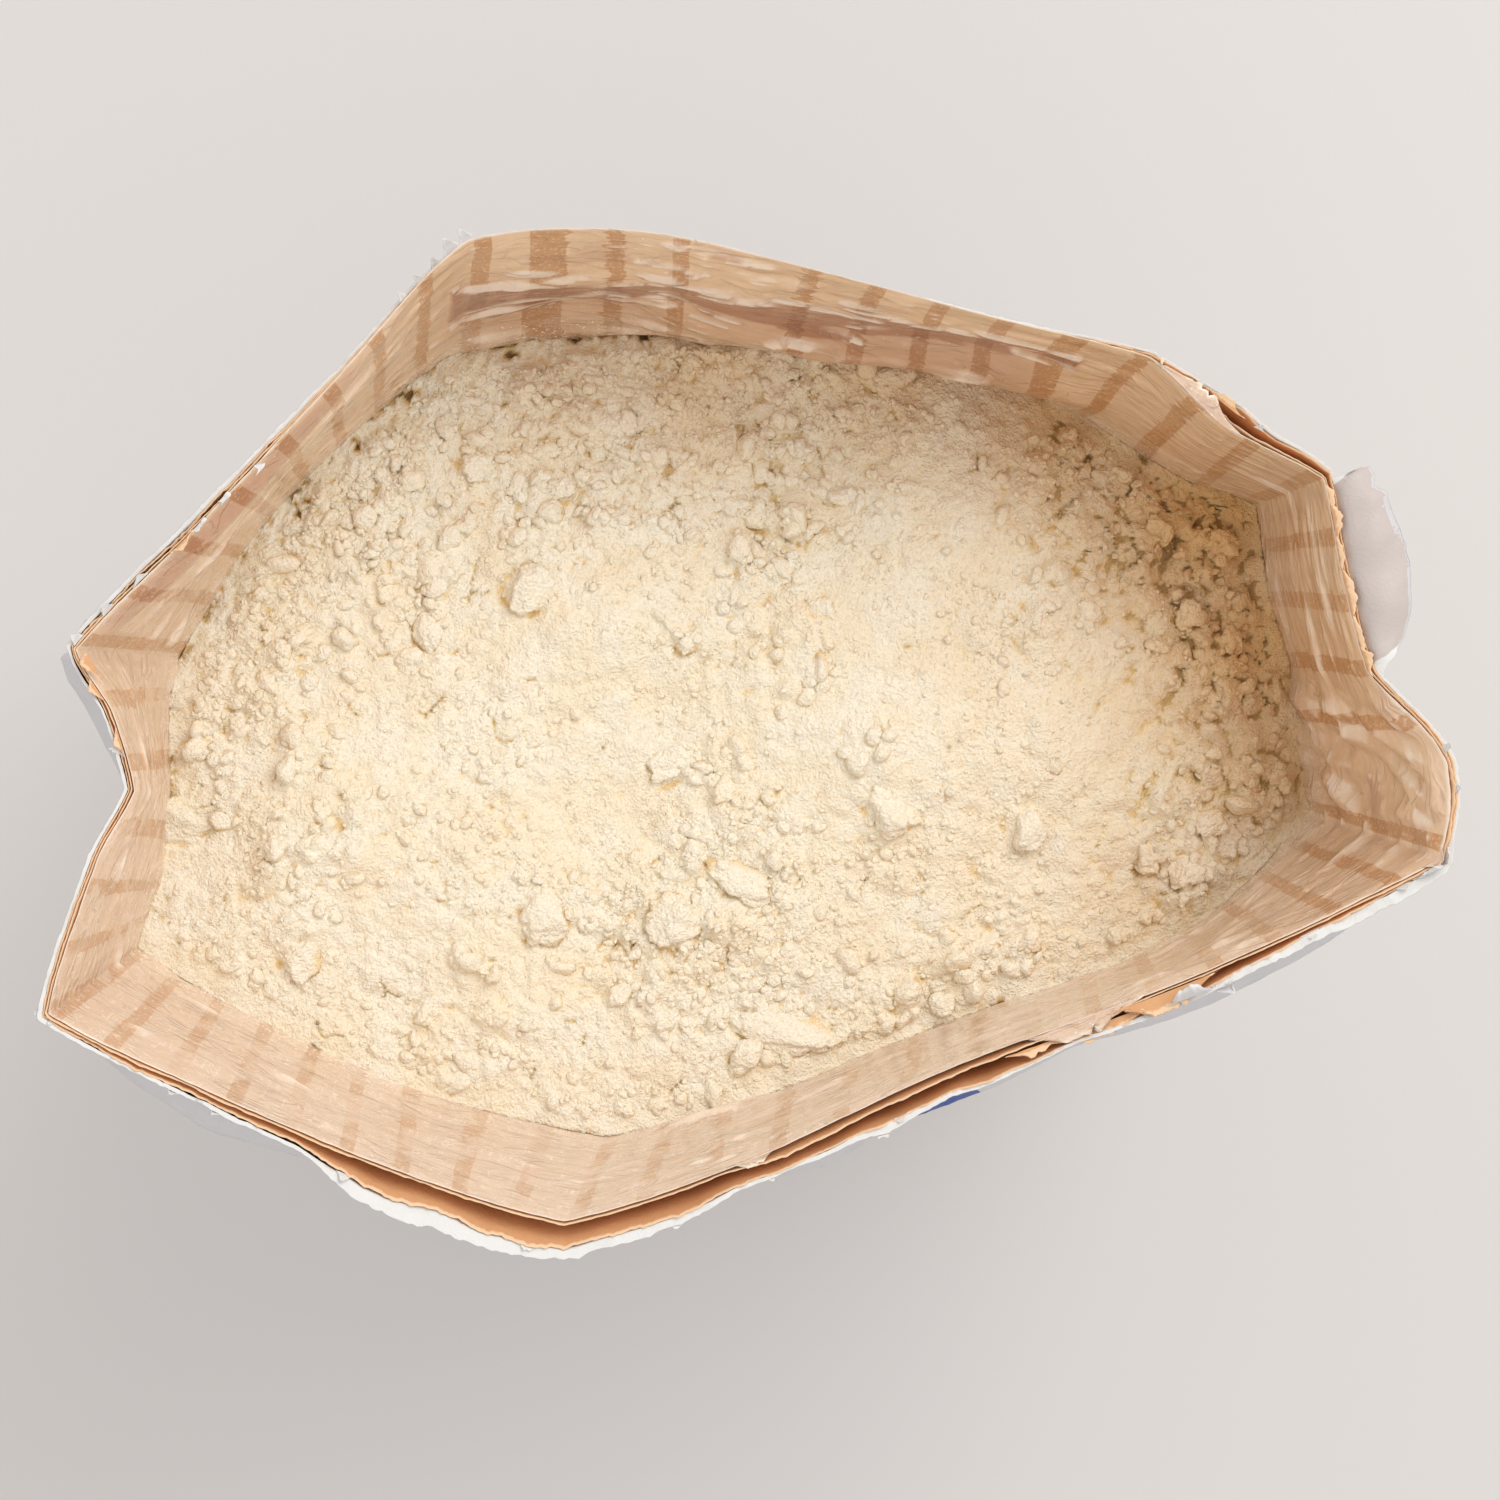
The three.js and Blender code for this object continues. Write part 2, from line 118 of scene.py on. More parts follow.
# %% Blending, and a draw for each cell
PRIMES = (0x9E3779B97F4A7C15, 0xC2B2AE3D27D4EB4F, 0x165667B19E3779F9)


def smooth(start, end, x):
    """0 before start, 1 after end, and 3t^2 - 2t^3 between, t being the share of the way."""
    t = np.clip((x - start) / (end - start), 0, 1)
    return t * t * (3 - 2 * t)


def blend(a, b, share):
    """a where share is 0, b where it is 1, and a straight mix between."""
    return a + (b - a) * share


def draw(seed, *cell):
    """A number in 0..1 for each whole-number cell: the seed and coordinates are multiplied and folded bit
    by bit."""
    mixed = np.full(np.broadcast(*cell).shape, (seed * 0x9E3779B1 + 77) & 0xFFFFFFFF, np.uint64)
    for prime, whole in zip(PRIMES, cell):
        mixed = (mixed ^ np.asarray(whole).astype(np.int64).astype(np.uint64)) * np.uint64(prime)
        mixed ^= mixed >> np.uint64(29)
    return (mixed >> np.uint64(11)) / 2.0**53


# %% Smooth ripples, in one size and in layers
def ripples(x, y, seed):
    """Smooth noise, about -0.7..0.7: each whole corner has a slope in a drawn direction, and a point blends
    four."""
    ix, iy = np.floor(x), np.floor(y)
    fx, fy = x - ix, y - iy

    def slope(dx, dy):
        """How high the drawn slope of the corner at dx, dy is at each point."""
        turn = 2 * np.pi * draw(seed, ix + dx, iy + dy)
        return np.cos(turn) * (fx - dx) + np.sin(turn) * (fy - dy)

    wx = fx * fx * (3 - 2 * fx)
    wy = fy * fy * (3 - 2 * fy)
    return blend(blend(slope(0, 0), slope(1, 0), wx), blend(slope(0, 1), slope(1, 1), wx), wy)


def layered(x, y, seed, count=4, keep=0.5):
    """Ripples on ripples: each layer has half the size and keep times the height of the one before."""
    return sum(keep**k * ripples(x * 2**k + 5.3 * k, y * 2**k - 3.1 * k, seed + k) for k in range(count))


# %% Scattered cells
def cells(x, y, seed, spread=0.85):
    """Distances to the nearest and second nearest of points scattered one to a unit square, and the
    nearest's draw."""
    ix, iy = np.floor(x), np.floor(y)
    nearest = np.full(np.shape(x), 9.0)
    second = nearest.copy()
    own = np.zeros(np.shape(x))
    for dx in (-1, 0, 1):
        for dy in (-1, 0, 1):
            cx, cy = ix + dx, iy + dy
            px = cx + 0.5 + spread * (draw(seed, cx, cy) - 0.5)
            py = cy + 0.5 + spread * (draw(seed + 1, cx, cy) - 0.5)
            away = np.hypot(px - x, py - y)
            closer = away < nearest
            second = np.where(closer, nearest, np.minimum(second, away))
            own = np.where(closer, draw(seed + 2, cx, cy), own)
            nearest = np.where(closer, away, nearest)
    return nearest, second, own


def unit(vectors):
    """Each vector, made one long."""
    return vectors / np.maximum(np.linalg.norm(vectors, axis=-1, keepdims=True), 1e-9)


# %% [markdown]
# ## The mouth
#
# On the real sack the torn edge is an uneven closed line with a few sharp creases, where the tube was
# folded flat, and soft bends between. We could draw it as a curve object, but then the sheets couldn't
# share it. A short list of the creases and bends is enough: where each is at the rim and at the mix, and
# how soft it is. A curve through them takes its direction at a sharp crease from the crease's own two
# sides, and at a soft bend from its neighbours.

# %% The creases and bends, as in the CAD model
FILL_HEIGHT = 488
FILL_TILT = -0.06
MOUTH = [
    ("left back corner", (-169.7, 40.3, 566), (-152.8, 38.2), 0.25),
    ("left end, back half", (-162.8, 22.3, 561), (-157.5, 24.7), 0.8),
    ("left gusset fold", (-160.4, 0.8, 556), (-160.4, 0.8), 0.3),
    ("left end, front half", (-171.5, -15.9, 560), (-165.2, -21.8), 0.8),
    ("left front corner", (-189.5, -56, 564), (-174.9, -43.7), 0.15),
    ("front, left end", (-152.3, -80.8, 560), (-148.3, -65.1), 0.9),
    ("front, before the bend", (-103.3, -108.9, 560), (-105.4, -92.6), 0.9),
    ("front bend", (-58.4, -128.6, 562), (-48.6, -114.6), 0.35),
    ("front, after the bend", (-9.9, -119.4, 560), (-5.7, -109.8), 0.9),
    ("front, middle", (49.8, -100.5, 560), (57.7, -93.5), 0.9),
    ("front, right end", (119.5, -82.9, 566), (124.1, -78.4), 0.9),
    ("right front corner", (185.8, -59.8, 574), (167.2, -47.4), 0.2),
    ("right end, front half", (190.9, -34.2, 572), (169.5, -28.6), 0.8),
    ("right gusset fold", (175, -8.1, 560), (166.6, -3), 0.3),
    ("right end, back half", (171.1, 17.6, 562), (162.7, 22.6), 0.8),
    ("right back corner", (168.4, 45.1, 566), (162.4, 44.8), 0.2),
    ("back, right end", (144.3, 62.2, 566), (140.5, 55.6), 0.8),
    ("back right bend", (125.7, 82.6, 570), (113.9, 77), 0.4),
    ("back, before the middle", (87.2, 97.4, 572), (78.4, 99.5), 0.9),
    ("back, middle", (43, 114.9, 574), (33.2, 109), 0.9),
    ("back, after the middle", (-5.3, 131.9, 576), (-10.3, 115.4), 0.9),
    ("back left bend", (-51.2, 135.5, 574), (-63.7, 115.9), 0.5),
    ("back, left end", (-92.5, 102.3, 570), (-98.6, 94), 0.9),
    ("left end of the back", (-134, 68.1, 568), (-128.9, 68.5), 0.9),
]
RIM = np.array([entry[1] for entry in MOUTH], float)
FILL = np.array([(*entry[2], FILL_HEIGHT + FILL_TILT * entry[2][0]) for entry in MOUTH])
SOFT = np.array([entry[3] for entry in MOUTH])[:, None]
CHORD = np.linalg.norm((np.roll(RIM, -1, 0) - RIM)[:, :2], axis=1)
START = np.concatenate([[0], np.cumsum(CHORD)])
ROUND = START[-1]
PLACE = {entry[0]: START[i] for i, entry in enumerate(MOUTH)}
print("the mouth is", round(ROUND), "mm round")


# %% The closed curve through them
def along(points, u):
    """The curve through one point of each crease, at u mm round: cubic pieces that meet in the same
    direction."""
    u = np.mod(u, ROUND)
    i = np.clip(np.searchsorted(START, u, side="right") - 1, 0, len(points) - 1)
    after = (i + 1) % len(points)
    t = ((u - START[i]) / CHORD[i])[..., None]
    own = np.roll(points, -1, 0) - points
    length = np.linalg.norm(own, axis=1, keepdims=True)
    around = unit(np.roll(points, -1, 0) - np.roll(points, 1, 0))
    leaving = unit(blend(own / length, around, SOFT)) * length
    arriving = unit(blend(own / length, np.roll(around, -1, 0), np.roll(SOFT, -1, 0))) * length
    return (
        points[i] * (2 * t**3 - 3 * t**2 + 1)
        + leaving[i] * (t**3 - 2 * t**2 + t)
        + points[after] * (3 * t**2 - 2 * t**3)
        + arriving[i] * (t**3 - t**2)
    )


def round_mouth(u, pairs):
    """A value that changes straight between (mm round, value) pairs, and joins up where the round closes."""
    places, values = zip(*sorted(pairs))
    return np.interp(np.mod(u, ROUND), places, values, period=ROUND)


# %% [markdown]
# ## The wall
#
# Below the mix line the sack is a body that swells from a flat rectangular foot to a belly. A superellipse
# gives each level, since one number takes it from nearly a rectangle to nearly an oval. Above the mix line
# the wall runs straight from there to the rim, and the back panel is folded over: a lobe of it bulges over
# the mix, with a crease above the lobe. At the back's left end the sheets bend in under the rim and turn
# out again as a lip.

# %% The wall's own numbers
FOOT = (171, 88, 4.6)
BELLY = (183, 126, 2.7)
BELLY_AT = 0.25
NECK_FROM = 0.55
CORNERS = ("left back corner", "left front corner", "right front corner", "right back corner")
GUSSETS = ("left gusset fold", "right gusset fold")
FOLD_REACH = 17.5  # how far a fold down the body spreads to each side
CORNER_RIDGE = 3
GUSSET_VALLEY = -6
FOOT_ROUNDING = 5
LOBE = {"x": 57, "half_width": 78, "height": 0.32, "half_height": 0.4, "reach": 9}
# (mm round, the crease's share of the collar, its half width as a share, its depth in mm)
BACK_CREASE = [
    (690, 0.68, 0.05, 0),
    (712, 0.66, 0.07, 1.4),
    (734, 0.62, 0.09, 2.0),
    (760, 0.57, 0.1, 2.4),
    (805, 0.55, 0.12, 2.8),
    (841, 0.48, 0.18, 2.6),
    (868, 0.5, 0.16, 0),
]

# (mm round, mm) of how far the sheets bend in before they turn out as a lip, about 10 mm below the rim
LIP = [(880, 0), (905, 1.5), (930, 2.6), (960, 4.2), (990, 4.6), (1008, 2)]
LIP_AT = 0.87


# %% The wall as a function
def body_folds(u):
    """Ridges down the four corners and valleys down the two gussets, each a straight-sided fold, in mm."""
    depth = 0
    for names, height in ((CORNERS, CORNER_RIDGE), (GUSSETS, GUSSET_VALLEY)):
        for name in names:
            away = np.abs(np.mod(u - PLACE[name] + ROUND / 2, ROUND) - ROUND / 2)
            depth = depth + height * np.clip(1 - away / FOLD_REACH, 0, 1)
    return depth


def back_crease(u, up):
    """How far the back panel's crease moves the wall inwards: t exp((1 - t^2) / 2), in above it and out
    below."""
    places, centres, widths, depths = zip(*BACK_CREASE)
    inside = (u > places[0]) & (u < places[-1])
    t = (up - np.interp(u, places, centres)) / np.interp(u, places, widths)
    return np.where(inside, np.interp(u, places, depths), 0) * t * np.exp((1 - t * t) / 2)


def wall(u, s, floor=0.0):
    """The sack's inside face, u mm round and s up: 0 the floor, 1 the mix line, 2 the rim. Up to the mix
    line, a superellipse |x/a|^n + |y/b|^n = 1 from foot to belly, that turns into the mix line. Above it,
    the straight way from the mix line to the rim, with the back panel's lobe and crease, and the lip."""
    s = np.broadcast_to(s, (len(s), len(u)))
    fill, rim = along(FILL, u), along(RIM, u)
    share = np.clip(s, 0, 1)
    grown = np.sqrt(np.clip(share / BELLY_AT, 0, 1) * (2 - np.clip(share / BELLY_AT, 0, 1)))
    a, b, power = (blend(low, high, grown) for low, high in zip(FOOT, BELLY))
    angle = np.arctan2(fill[:, 1], fill[:, 0])
    across, deep = np.abs(np.cos(angle)) / a, np.abs(np.sin(angle)) / b
    radius = (across**power + deep**power) ** (-1 / power)
    radius = radius + body_folds(u) * smooth(0, 0.3, share) * (1 - smooth(0.8, 1, share))
    z = blend(floor, fill[:, 2], share)
    near_floor = np.clip(1 - z / FOOT_ROUNDING, 0, 1)
    radius = radius - FOOT_ROUNDING * (1 - np.sqrt(1 - near_floor**2))
    plan = np.stack([radius * np.cos(angle), radius * np.sin(angle)], -1)
    plan = blend(plan, fill[None, :, :2], smooth(NECK_FROM, 1, share)[..., None])
    body = np.concatenate([plan, z[..., None]], -1)
    up = np.maximum(s - 1, 0)
    collar = blend(fill[None], rim[None], up[..., None])
    side = np.clip(1 - np.abs(collar[..., 0] - LOBE["x"]) / LOBE["half_width"], 0, 1)
    height = np.clip(1 - np.abs(up - LOBE["height"]) / LOBE["half_height"], 0, 1)
    lobe = LOBE["reach"] * smooth(0, 0.6, side) * smooth(0, 1, height) * (collar[..., 1] > 0)
    collar[..., 1] -= lobe + back_crease(u, up)
    lip = np.interp(u, *zip(*LIP), left=0, right=0) * smooth(0.3, LIP_AT, up) * (1 - smooth(LIP_AT, 1, up))
    collar[..., :2] -= unit(collar[..., :2]) * lip[..., None]
    return np.where(s[..., None] <= 1, body, collar)


SQUARE_OVER = 7  # mm to each side over which the sheet's own direction is taken
EVENED_STEP = 8.75
EVENED_STEPS = 8  # so the evened direction is taken over 70 mm to each side


def outwards(face):
    """Two level directions for each point of a face: square to the sheet there, and evened out over 140
    mm."""
    pitch = ROUND / face.shape[1]
    k = max(1, round(SQUARE_OVER / pitch))
    step = np.roll(face, -k, 1) - np.roll(face, k, 1)
    square = unit(np.stack([step[..., 1], -step[..., 0], np.zeros(face.shape[:2])], -1))
    gap = max(1, round(EVENED_STEP / pitch))
    evened = unit(sum(np.roll(square, gap * j, 1) for j in range(-EVENED_STEPS, EVENED_STEPS + 1)))
    return square, evened


test_columns = np.linspace(0, ROUND, 200, endpoint=False)
test_wall = wall(test_columns, np.linspace(0, 2, 60)[:, None])
print("the wall spans", test_wall.min((0, 1)).round(), "to", test_wall.max((0, 1)).round(), "mm")


# %% [markdown]
# ## From arrays to meshes
#
# A sheet is a thin closed shell. Blender's Solidify modifier could thicken a surface, but it doubles the
# fine rows of the face that shows onto the face that doesn't. So a sheet is made as rings instead: up its
# outer face, over the torn edge and down its inner face, with few rings where nothing shows, and both ends
# closed on a middle point.

# %% Meshes from points and faces
def lay_mesh(name, points, *faces):
    """A linked mesh object from points in mm and arrays of faces, each row one face's corners."""
    corners = np.concatenate([f.ravel() for f in faces])
    sizes = np.concatenate([np.full(len(f), f.shape[1]) for f in faces])
    mesh = bpy.data.meshes.new(name)
    mesh.vertices.add(len(points))
    mesh.vertices.foreach_set("co", (points * MM).astype(np.float32).ravel())
    mesh.loops.add(len(corners))
    mesh.loops.foreach_set("vertex_index", corners.astype(np.int32))
    mesh.polygons.add(len(sizes))
    mesh.polygons.foreach_set("loop_start", (np.cumsum(sizes) - sizes).astype(np.int32))
    mesh.polygons.foreach_set("use_smooth", np.ones(len(sizes), bool))
    mesh.update(calc_edges=True)
    piece = bpy.data.objects.new(name, mesh)
    bpy.context.scene.collection.objects.link(piece)
    triangles = int((sizes - 2).sum())
    print(f"{name}: {len(points)} points, {triangles} triangles")
    return piece


def note(piece, name, values):
    """Keeps one number for each point of the mesh, which a material reads by name."""
    layer = piece.data.attributes.new(name, "FLOAT", "POINT")
    layer.data.foreach_set("value", np.ascontiguousarray(values, np.float32).ravel())


def hand_in(piece, node, material):
    """The piece stands for a CAD node, whose part it hides, takes the given material, and rides on the one
    body."""
    piece.data.materials.append(material)
    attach(piece, "root")
    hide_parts(node)
    return piece


# %% A shell from rings
def shell(name, rings, sheet_map):
    """Rings joined each to the next and closed at both ends on their middle. sheet_map holds for each ring
    point (mm round, mm up), and goes into a map with the last column's far side unwrapped."""
    count, columns = rings.shape[:2]
    row, column = np.meshgrid(np.arange(count - 1), np.arange(columns), indexing="ij")
    corner_rows = np.stack([row, row, row + 1, row + 1], -1).reshape(-1, 4)
    corner_columns = np.stack([column, column + 1, column + 1, column], -1).reshape(-1, 4)
    quads = corner_rows * columns + corner_columns % columns
    ring = np.arange(columns)
    after = (ring + 1) % columns
    first, last = count * columns, count * columns + 1
    top = (count - 1) * columns
    under = np.stack([np.full(columns, first), after, ring], -1)
    over = np.stack([np.full(columns, last), top + ring, top + after], -1)
    middles = np.stack([rings[0].mean(0), rings[-1].mean(0)])
    piece = lay_mesh(name, np.concatenate([rings.reshape(-1, 3), middles]), quads, under, over)
    at = sheet_map[corner_rows, corner_columns % columns].copy()
    at[..., 0] += np.where(corner_columns == columns, ROUND, 0)
    ends = np.zeros((2 * columns * 3, 2))
    layer = piece.data.uv_layers.new(name="sheet")
    layer.data.foreach_set("uv", (np.concatenate([at.reshape(-1, 2), ends]) * MM).astype(np.float32).ravel())
    return piece


# %% [markdown]
# ## Finishes
#
# Each finish is a node material. Some effects come back on several pieces, so each of those is a node
# group: the fibres of paper, the crinkles of thin film, the dust of the mix, and the crumb of the mix. The
# colours were judged against the photograph, as ordinary screen colours, and are turned into the linear
# ones that Blender mixes.

# %% A short way to write nodes
def paint(red, green, blue):
    """A screen colour, 0 to 255 each, as linear light."""
    share = np.array([red, green, blue]) / 255
    return (*np.where(share <= 0.04045, share / 12.92, ((share + 0.055) / 1.055) ** 2.4), 1)


def feed(tree, given, value):
    """Links the input to a socket, or sets its own value where a plain value is given."""
    if isinstance(value, bpy.types.NodeSocket):
        tree.links.new(value, given)
    else:
        given.default_value = value


def node(tree, kind, inputs=None, **settings):
    """One shader node with its settings; an input is a value or a socket to link from."""
    made = tree.nodes.new("ShaderNode" + kind)
    for key, value in settings.items():
        setattr(made, key, value)
    for key, value in (inputs or {}).items():
        feed(tree, made.inputs[key], value)
    return made


def maths(tree, operation, *values):
    """The result socket of one Math node."""
    return node(tree, "Math", dict(enumerate(values)), operation=operation).outputs[0]


def times(tree, first, second):
    """The two multiplied."""
    return maths(tree, "MULTIPLY", first, second)


def plus(tree, first, second):
    """The two added."""
    return maths(tree, "ADD", first, second)


def minus(tree, first, second):
    """The first less the second."""
    return maths(tree, "SUBTRACT", first, second)


def ramp(tree, value, low, high, out_low=0.0, out_high=1.0):
    """A value run smoothly from low..high to out_low..out_high."""
    inputs = {"Value": value, "From Min": low, "From Max": high, "To Min": out_low, "To Max": out_high}
    return node(tree, "MapRange", inputs, interpolation_type="SMOOTHSTEP").outputs[0]


def mixed(tree, factor, first, second, how="MIX"):
    """Two colours mixed by a factor."""
    made = node(tree, "Mix", data_type="RGBA", blend_type=how)
    for key, value in ((0, factor), (6, first), (7, second)):
        feed(tree, made.inputs[key], value)
    return made.outputs[2]


# %% Node groups
def start_group(name, inputs, outputs):
    """A node group with its sockets: inputs by name with their start value, outputs by name."""
    group = bpy.data.node_groups.new(name, "ShaderNodeTree")
    for key, value in inputs.items():
        kind = "NodeSocketVector" if value is None else "NodeSocketFloat"
        socket = group.interface.new_socket(name=key, in_out="INPUT", socket_type=kind)
        if value is not None:
            socket.default_value = value
    for key in outputs:
        group.interface.new_socket(name=key, in_out="OUTPUT", socket_type="NodeSocketFloat")
    return group, group.nodes.new("NodeGroupInput"), group.nodes.new("NodeGroupOutput")


def use_group(tree, group, inputs):
    """The group placed in a material, its inputs set or linked."""
    made = tree.nodes.new("ShaderNodeGroup")
    made.node_tree = group
    for key, value in inputs.items():
        feed(tree, made.inputs[key], value)
    return made.outputs


# %% Paper fibres
def make_paper_fibres():
    """Pale and dark fibres that lie every way, and a cloudy unevenness, as in a sheet held to the light."""
    group, given, result = start_group("paper_fibres", {"Vector": None}, ["Cloud", "Fibre"])
    spot = given.outputs["Vector"]
    cloud = node(group, "TexNoise", {"Vector": spot, "Scale": 160.0, "Detail": 3.0, "Roughness": 0.6})
    bent = node(group, "TexNoise", {"Vector": spot, "Scale": 420.0, "Detail": 1.0})
    line = maths(group, "ABSOLUTE", minus(group, bent.outputs["Fac"], 0.5))
    group.links.new(cloud.outputs["Fac"], result.inputs["Cloud"])
    group.links.new(ramp(group, line, 0.0, 0.05, 1.0, 0.0), result.inputs["Fibre"])
    return group


PAPER_FIBRES = make_paper_fibres()


# %% Film crinkles
def make_film_crinkles():
    """Sharp folds that run round the mouth, some level and some slanting, each a triangle wave bent by
    noise, in patches, hair (noise drawn out sideways), and fine lines where such noise passes its middle.
    Around and Up are metres on the sheet."""
    outputs = ["Height", "Hair", "Patch", "Line"]
    group, given, result = start_group("film_crinkles", {"Around": 0.0, "Up": 0.0}, outputs)
    around, up = given.outputs["Around"], given.outputs["Up"]
    noises = []
    scales = ((24.0, 80.0, 2.0), (32.0, 60.0, 2.0), (130.0, 800.0, 1.0), (210.0, 460.0, 2.0))
    for across, upwards, detail in scales:
        x, y = times(group, around, across), times(group, up, upwards)
        if noises:
            y = plus(group, y, times(group, noises[0], 9.0))
        spot = node(group, "CombineXYZ", {0: x, 1: y}).outputs[0]
        inputs = {"Vector": spot, "Scale": 1.0, "Detail": detail}
        noises.append(node(group, "TexNoise", inputs, noise_dimensions="2D").outputs["Fac"])
    patch = ramp(group, noises[1], 0.5, 0.62)
    hair, cross = times(group, noises[2], 0.3), times(group, noises[3], 0.8)
    height = plus(group, hair, cross)
    for upwards, across, bend in ((230.0, 12.0, 6.0), (260.0, -90.0, 5.0)):
        level, slant = times(group, up, upwards), times(group, around, across)
        way = plus(group, level, slant)
        way = plus(group, way, times(group, noises[0], bend))
        fold = times(group, maths(group, "PINGPONG", way, 0.5), patch)
        height = plus(group, height, times(group, fold, 2.0))
    group.links.new(height, result.inputs["Height"])
    group.links.new(minus(group, noises[2], 0.5), result.inputs["Hair"])
    group.links.new(patch, result.inputs["Patch"])
    line = ramp(group, maths(group, "ABSOLUTE", minus(group, noises[3], 0.5)), 0.0, 0.03, 1.0, 0.0)
    group.links.new(line, result.inputs["Line"])
    return group


FILM_CRINKLES = make_film_crinkles()


# %% Dust of the mix
def make_mix_dust():
    """Specks of powder that cling: the fewer, the further a point is from the mix. Nearness is 1 at the
    mix."""
    group, given, result = start_group("mix_dust", {"Vector": None, "Nearness": 0.0}, ["Specks", "Film"])
    specks = node(group, "TexNoise", {"Vector": given.outputs["Vector"], "Scale": 1100.0, "Detail": 1.0})
    clouds = node(group, "TexNoise", {"Vector": given.outputs["Vector"], "Scale": 90.0, "Detail": 2.0})
    near = given.outputs["Nearness"]
    limit = minus(group, 0.76, times(group, near, 0.26))
    over = minus(group, specks.outputs["Fac"], limit)
    group.links.new(ramp(group, over, 0.0, 0.04), result.inputs["Specks"])
    cloudy = ramp(group, clouds.outputs["Fac"], 0.35, 0.65, 0.25, 1.0)
    group.links.new(times(group, near, cloudy), result.inputs["Film"])
    return group


MIX_DUST = make_mix_dust()


# %% Crumb of the mix
def make_mix_crumb():
    """The finest grain: powder in puffs of about two millimetres with furrows between, pits between the
    grains, and a slow change of tone."""
    group, given, result = start_group("mix_crumb", {"Vector": None}, ["Height", "Tone", "Furrow", "Pits"])
    spot = given.outputs["Vector"]
    grain = node(group, "TexNoise", {"Vector": spot, "Scale": 1250.0, "Detail": 2.0, "Roughness": 0.6})
    puffs = node(group, "TexNoise", {"Vector": spot, "Scale": 430.0, "Detail": 1.0})
    tone = node(group, "TexNoise", {"Vector": spot, "Scale": 60.0, "Detail": 2.0})
    puff = maths(group, "ABSOLUTE", minus(group, puffs.outputs["Fac"], 0.5))
    height = plus(group, grain.outputs["Fac"], times(group, puff, 1.5))
    group.links.new(height, result.inputs["Height"])
    group.links.new(tone.outputs["Fac"], result.inputs["Tone"])
    group.links.new(ramp(group, grain.outputs["Fac"], 0.36, 0.47, 1.0, 0.0), result.inputs["Pits"])
    group.links.new(ramp(group, puff, 0.0, 0.025, 1.0, 0.0), result.inputs["Furrow"])
    return group


MIX_CRUMB = make_mix_crumb()


# %% Printed fields
def make_printed_fields(fields):
    """1 inside any of the plain printed fields. Each is a box on the sheet: the middle and half of its width
    round, and the middle and half of its height up, in mm on the sheet."""
    group, given, result = start_group("printed_fields", {"Around": 0.0, "Up": 0.0}, ["Inside"])
    inside = 0.0
    for middle, half, middle_up, half_up in fields:
        across = maths(group, "COMPARE", given.outputs["Around"], middle * MM, half * MM)
        upwards = maths(group, "COMPARE", given.outputs["Up"], middle_up * MM, half_up * MM)
        inside = maths(group, "MAXIMUM", times(group, across, upwards), inside)
    group.links.new(inside, result.inputs["Inside"])
    return group


# A broad band and a thin one on both wide panels, and a field of which the tear has left the lower part.
PRINTED_FIELDS = make_printed_fields([
    (307, 189, -40, 14), (817, 185, -40, 14), (307, 189, -22, 0.7), (817, 185, -22, 0.7), (362, 9, 72, 24),
])


# %% [markdown]
# ## Film, glued to brown paper
#
# What we see inside the sack is clear film over kraft paper, held by brown stripes of glue. The stripes run
# up and down and stand 18 mm apart, but where the sheet is folded they are closer or wider. So they were
# counted round the mouth, and the count is kept with the mesh: wherever it passes a whole number there is a
# stripe.

# %% The film's material
FILM_PAPER = paint(238, 201, 162)
FILM_CLOUD = paint(229, 189, 148)
GLUE = paint(196, 138, 84)
# Painted shade for where the film has come off the paper
PAINTED_LIFT_SHADE = paint(172, 116, 92)
DUST = paint(247, 234, 212)
FILM_EDGE = paint(246, 228, 208)
STRIPE_HALF = 2.4  # mm
STRIPE_PITCH = 18.1


def start_material(name):
    """An empty node material, with its tree, its shader and the Object coordinates."""
    material = bpy.data.materials.new(name)
    material.use_nodes = True
    tree = material.node_tree
    shader = tree.nodes["Principled BSDF"]
    place = node(tree, "TexCoord").outputs["Object"]
    return material, tree, shader, place


def read(tree, name):
    """The numbers that a piece keeps under this name."""
    return node(tree, "Attribute", attribute_name=name).outputs["Fac"]


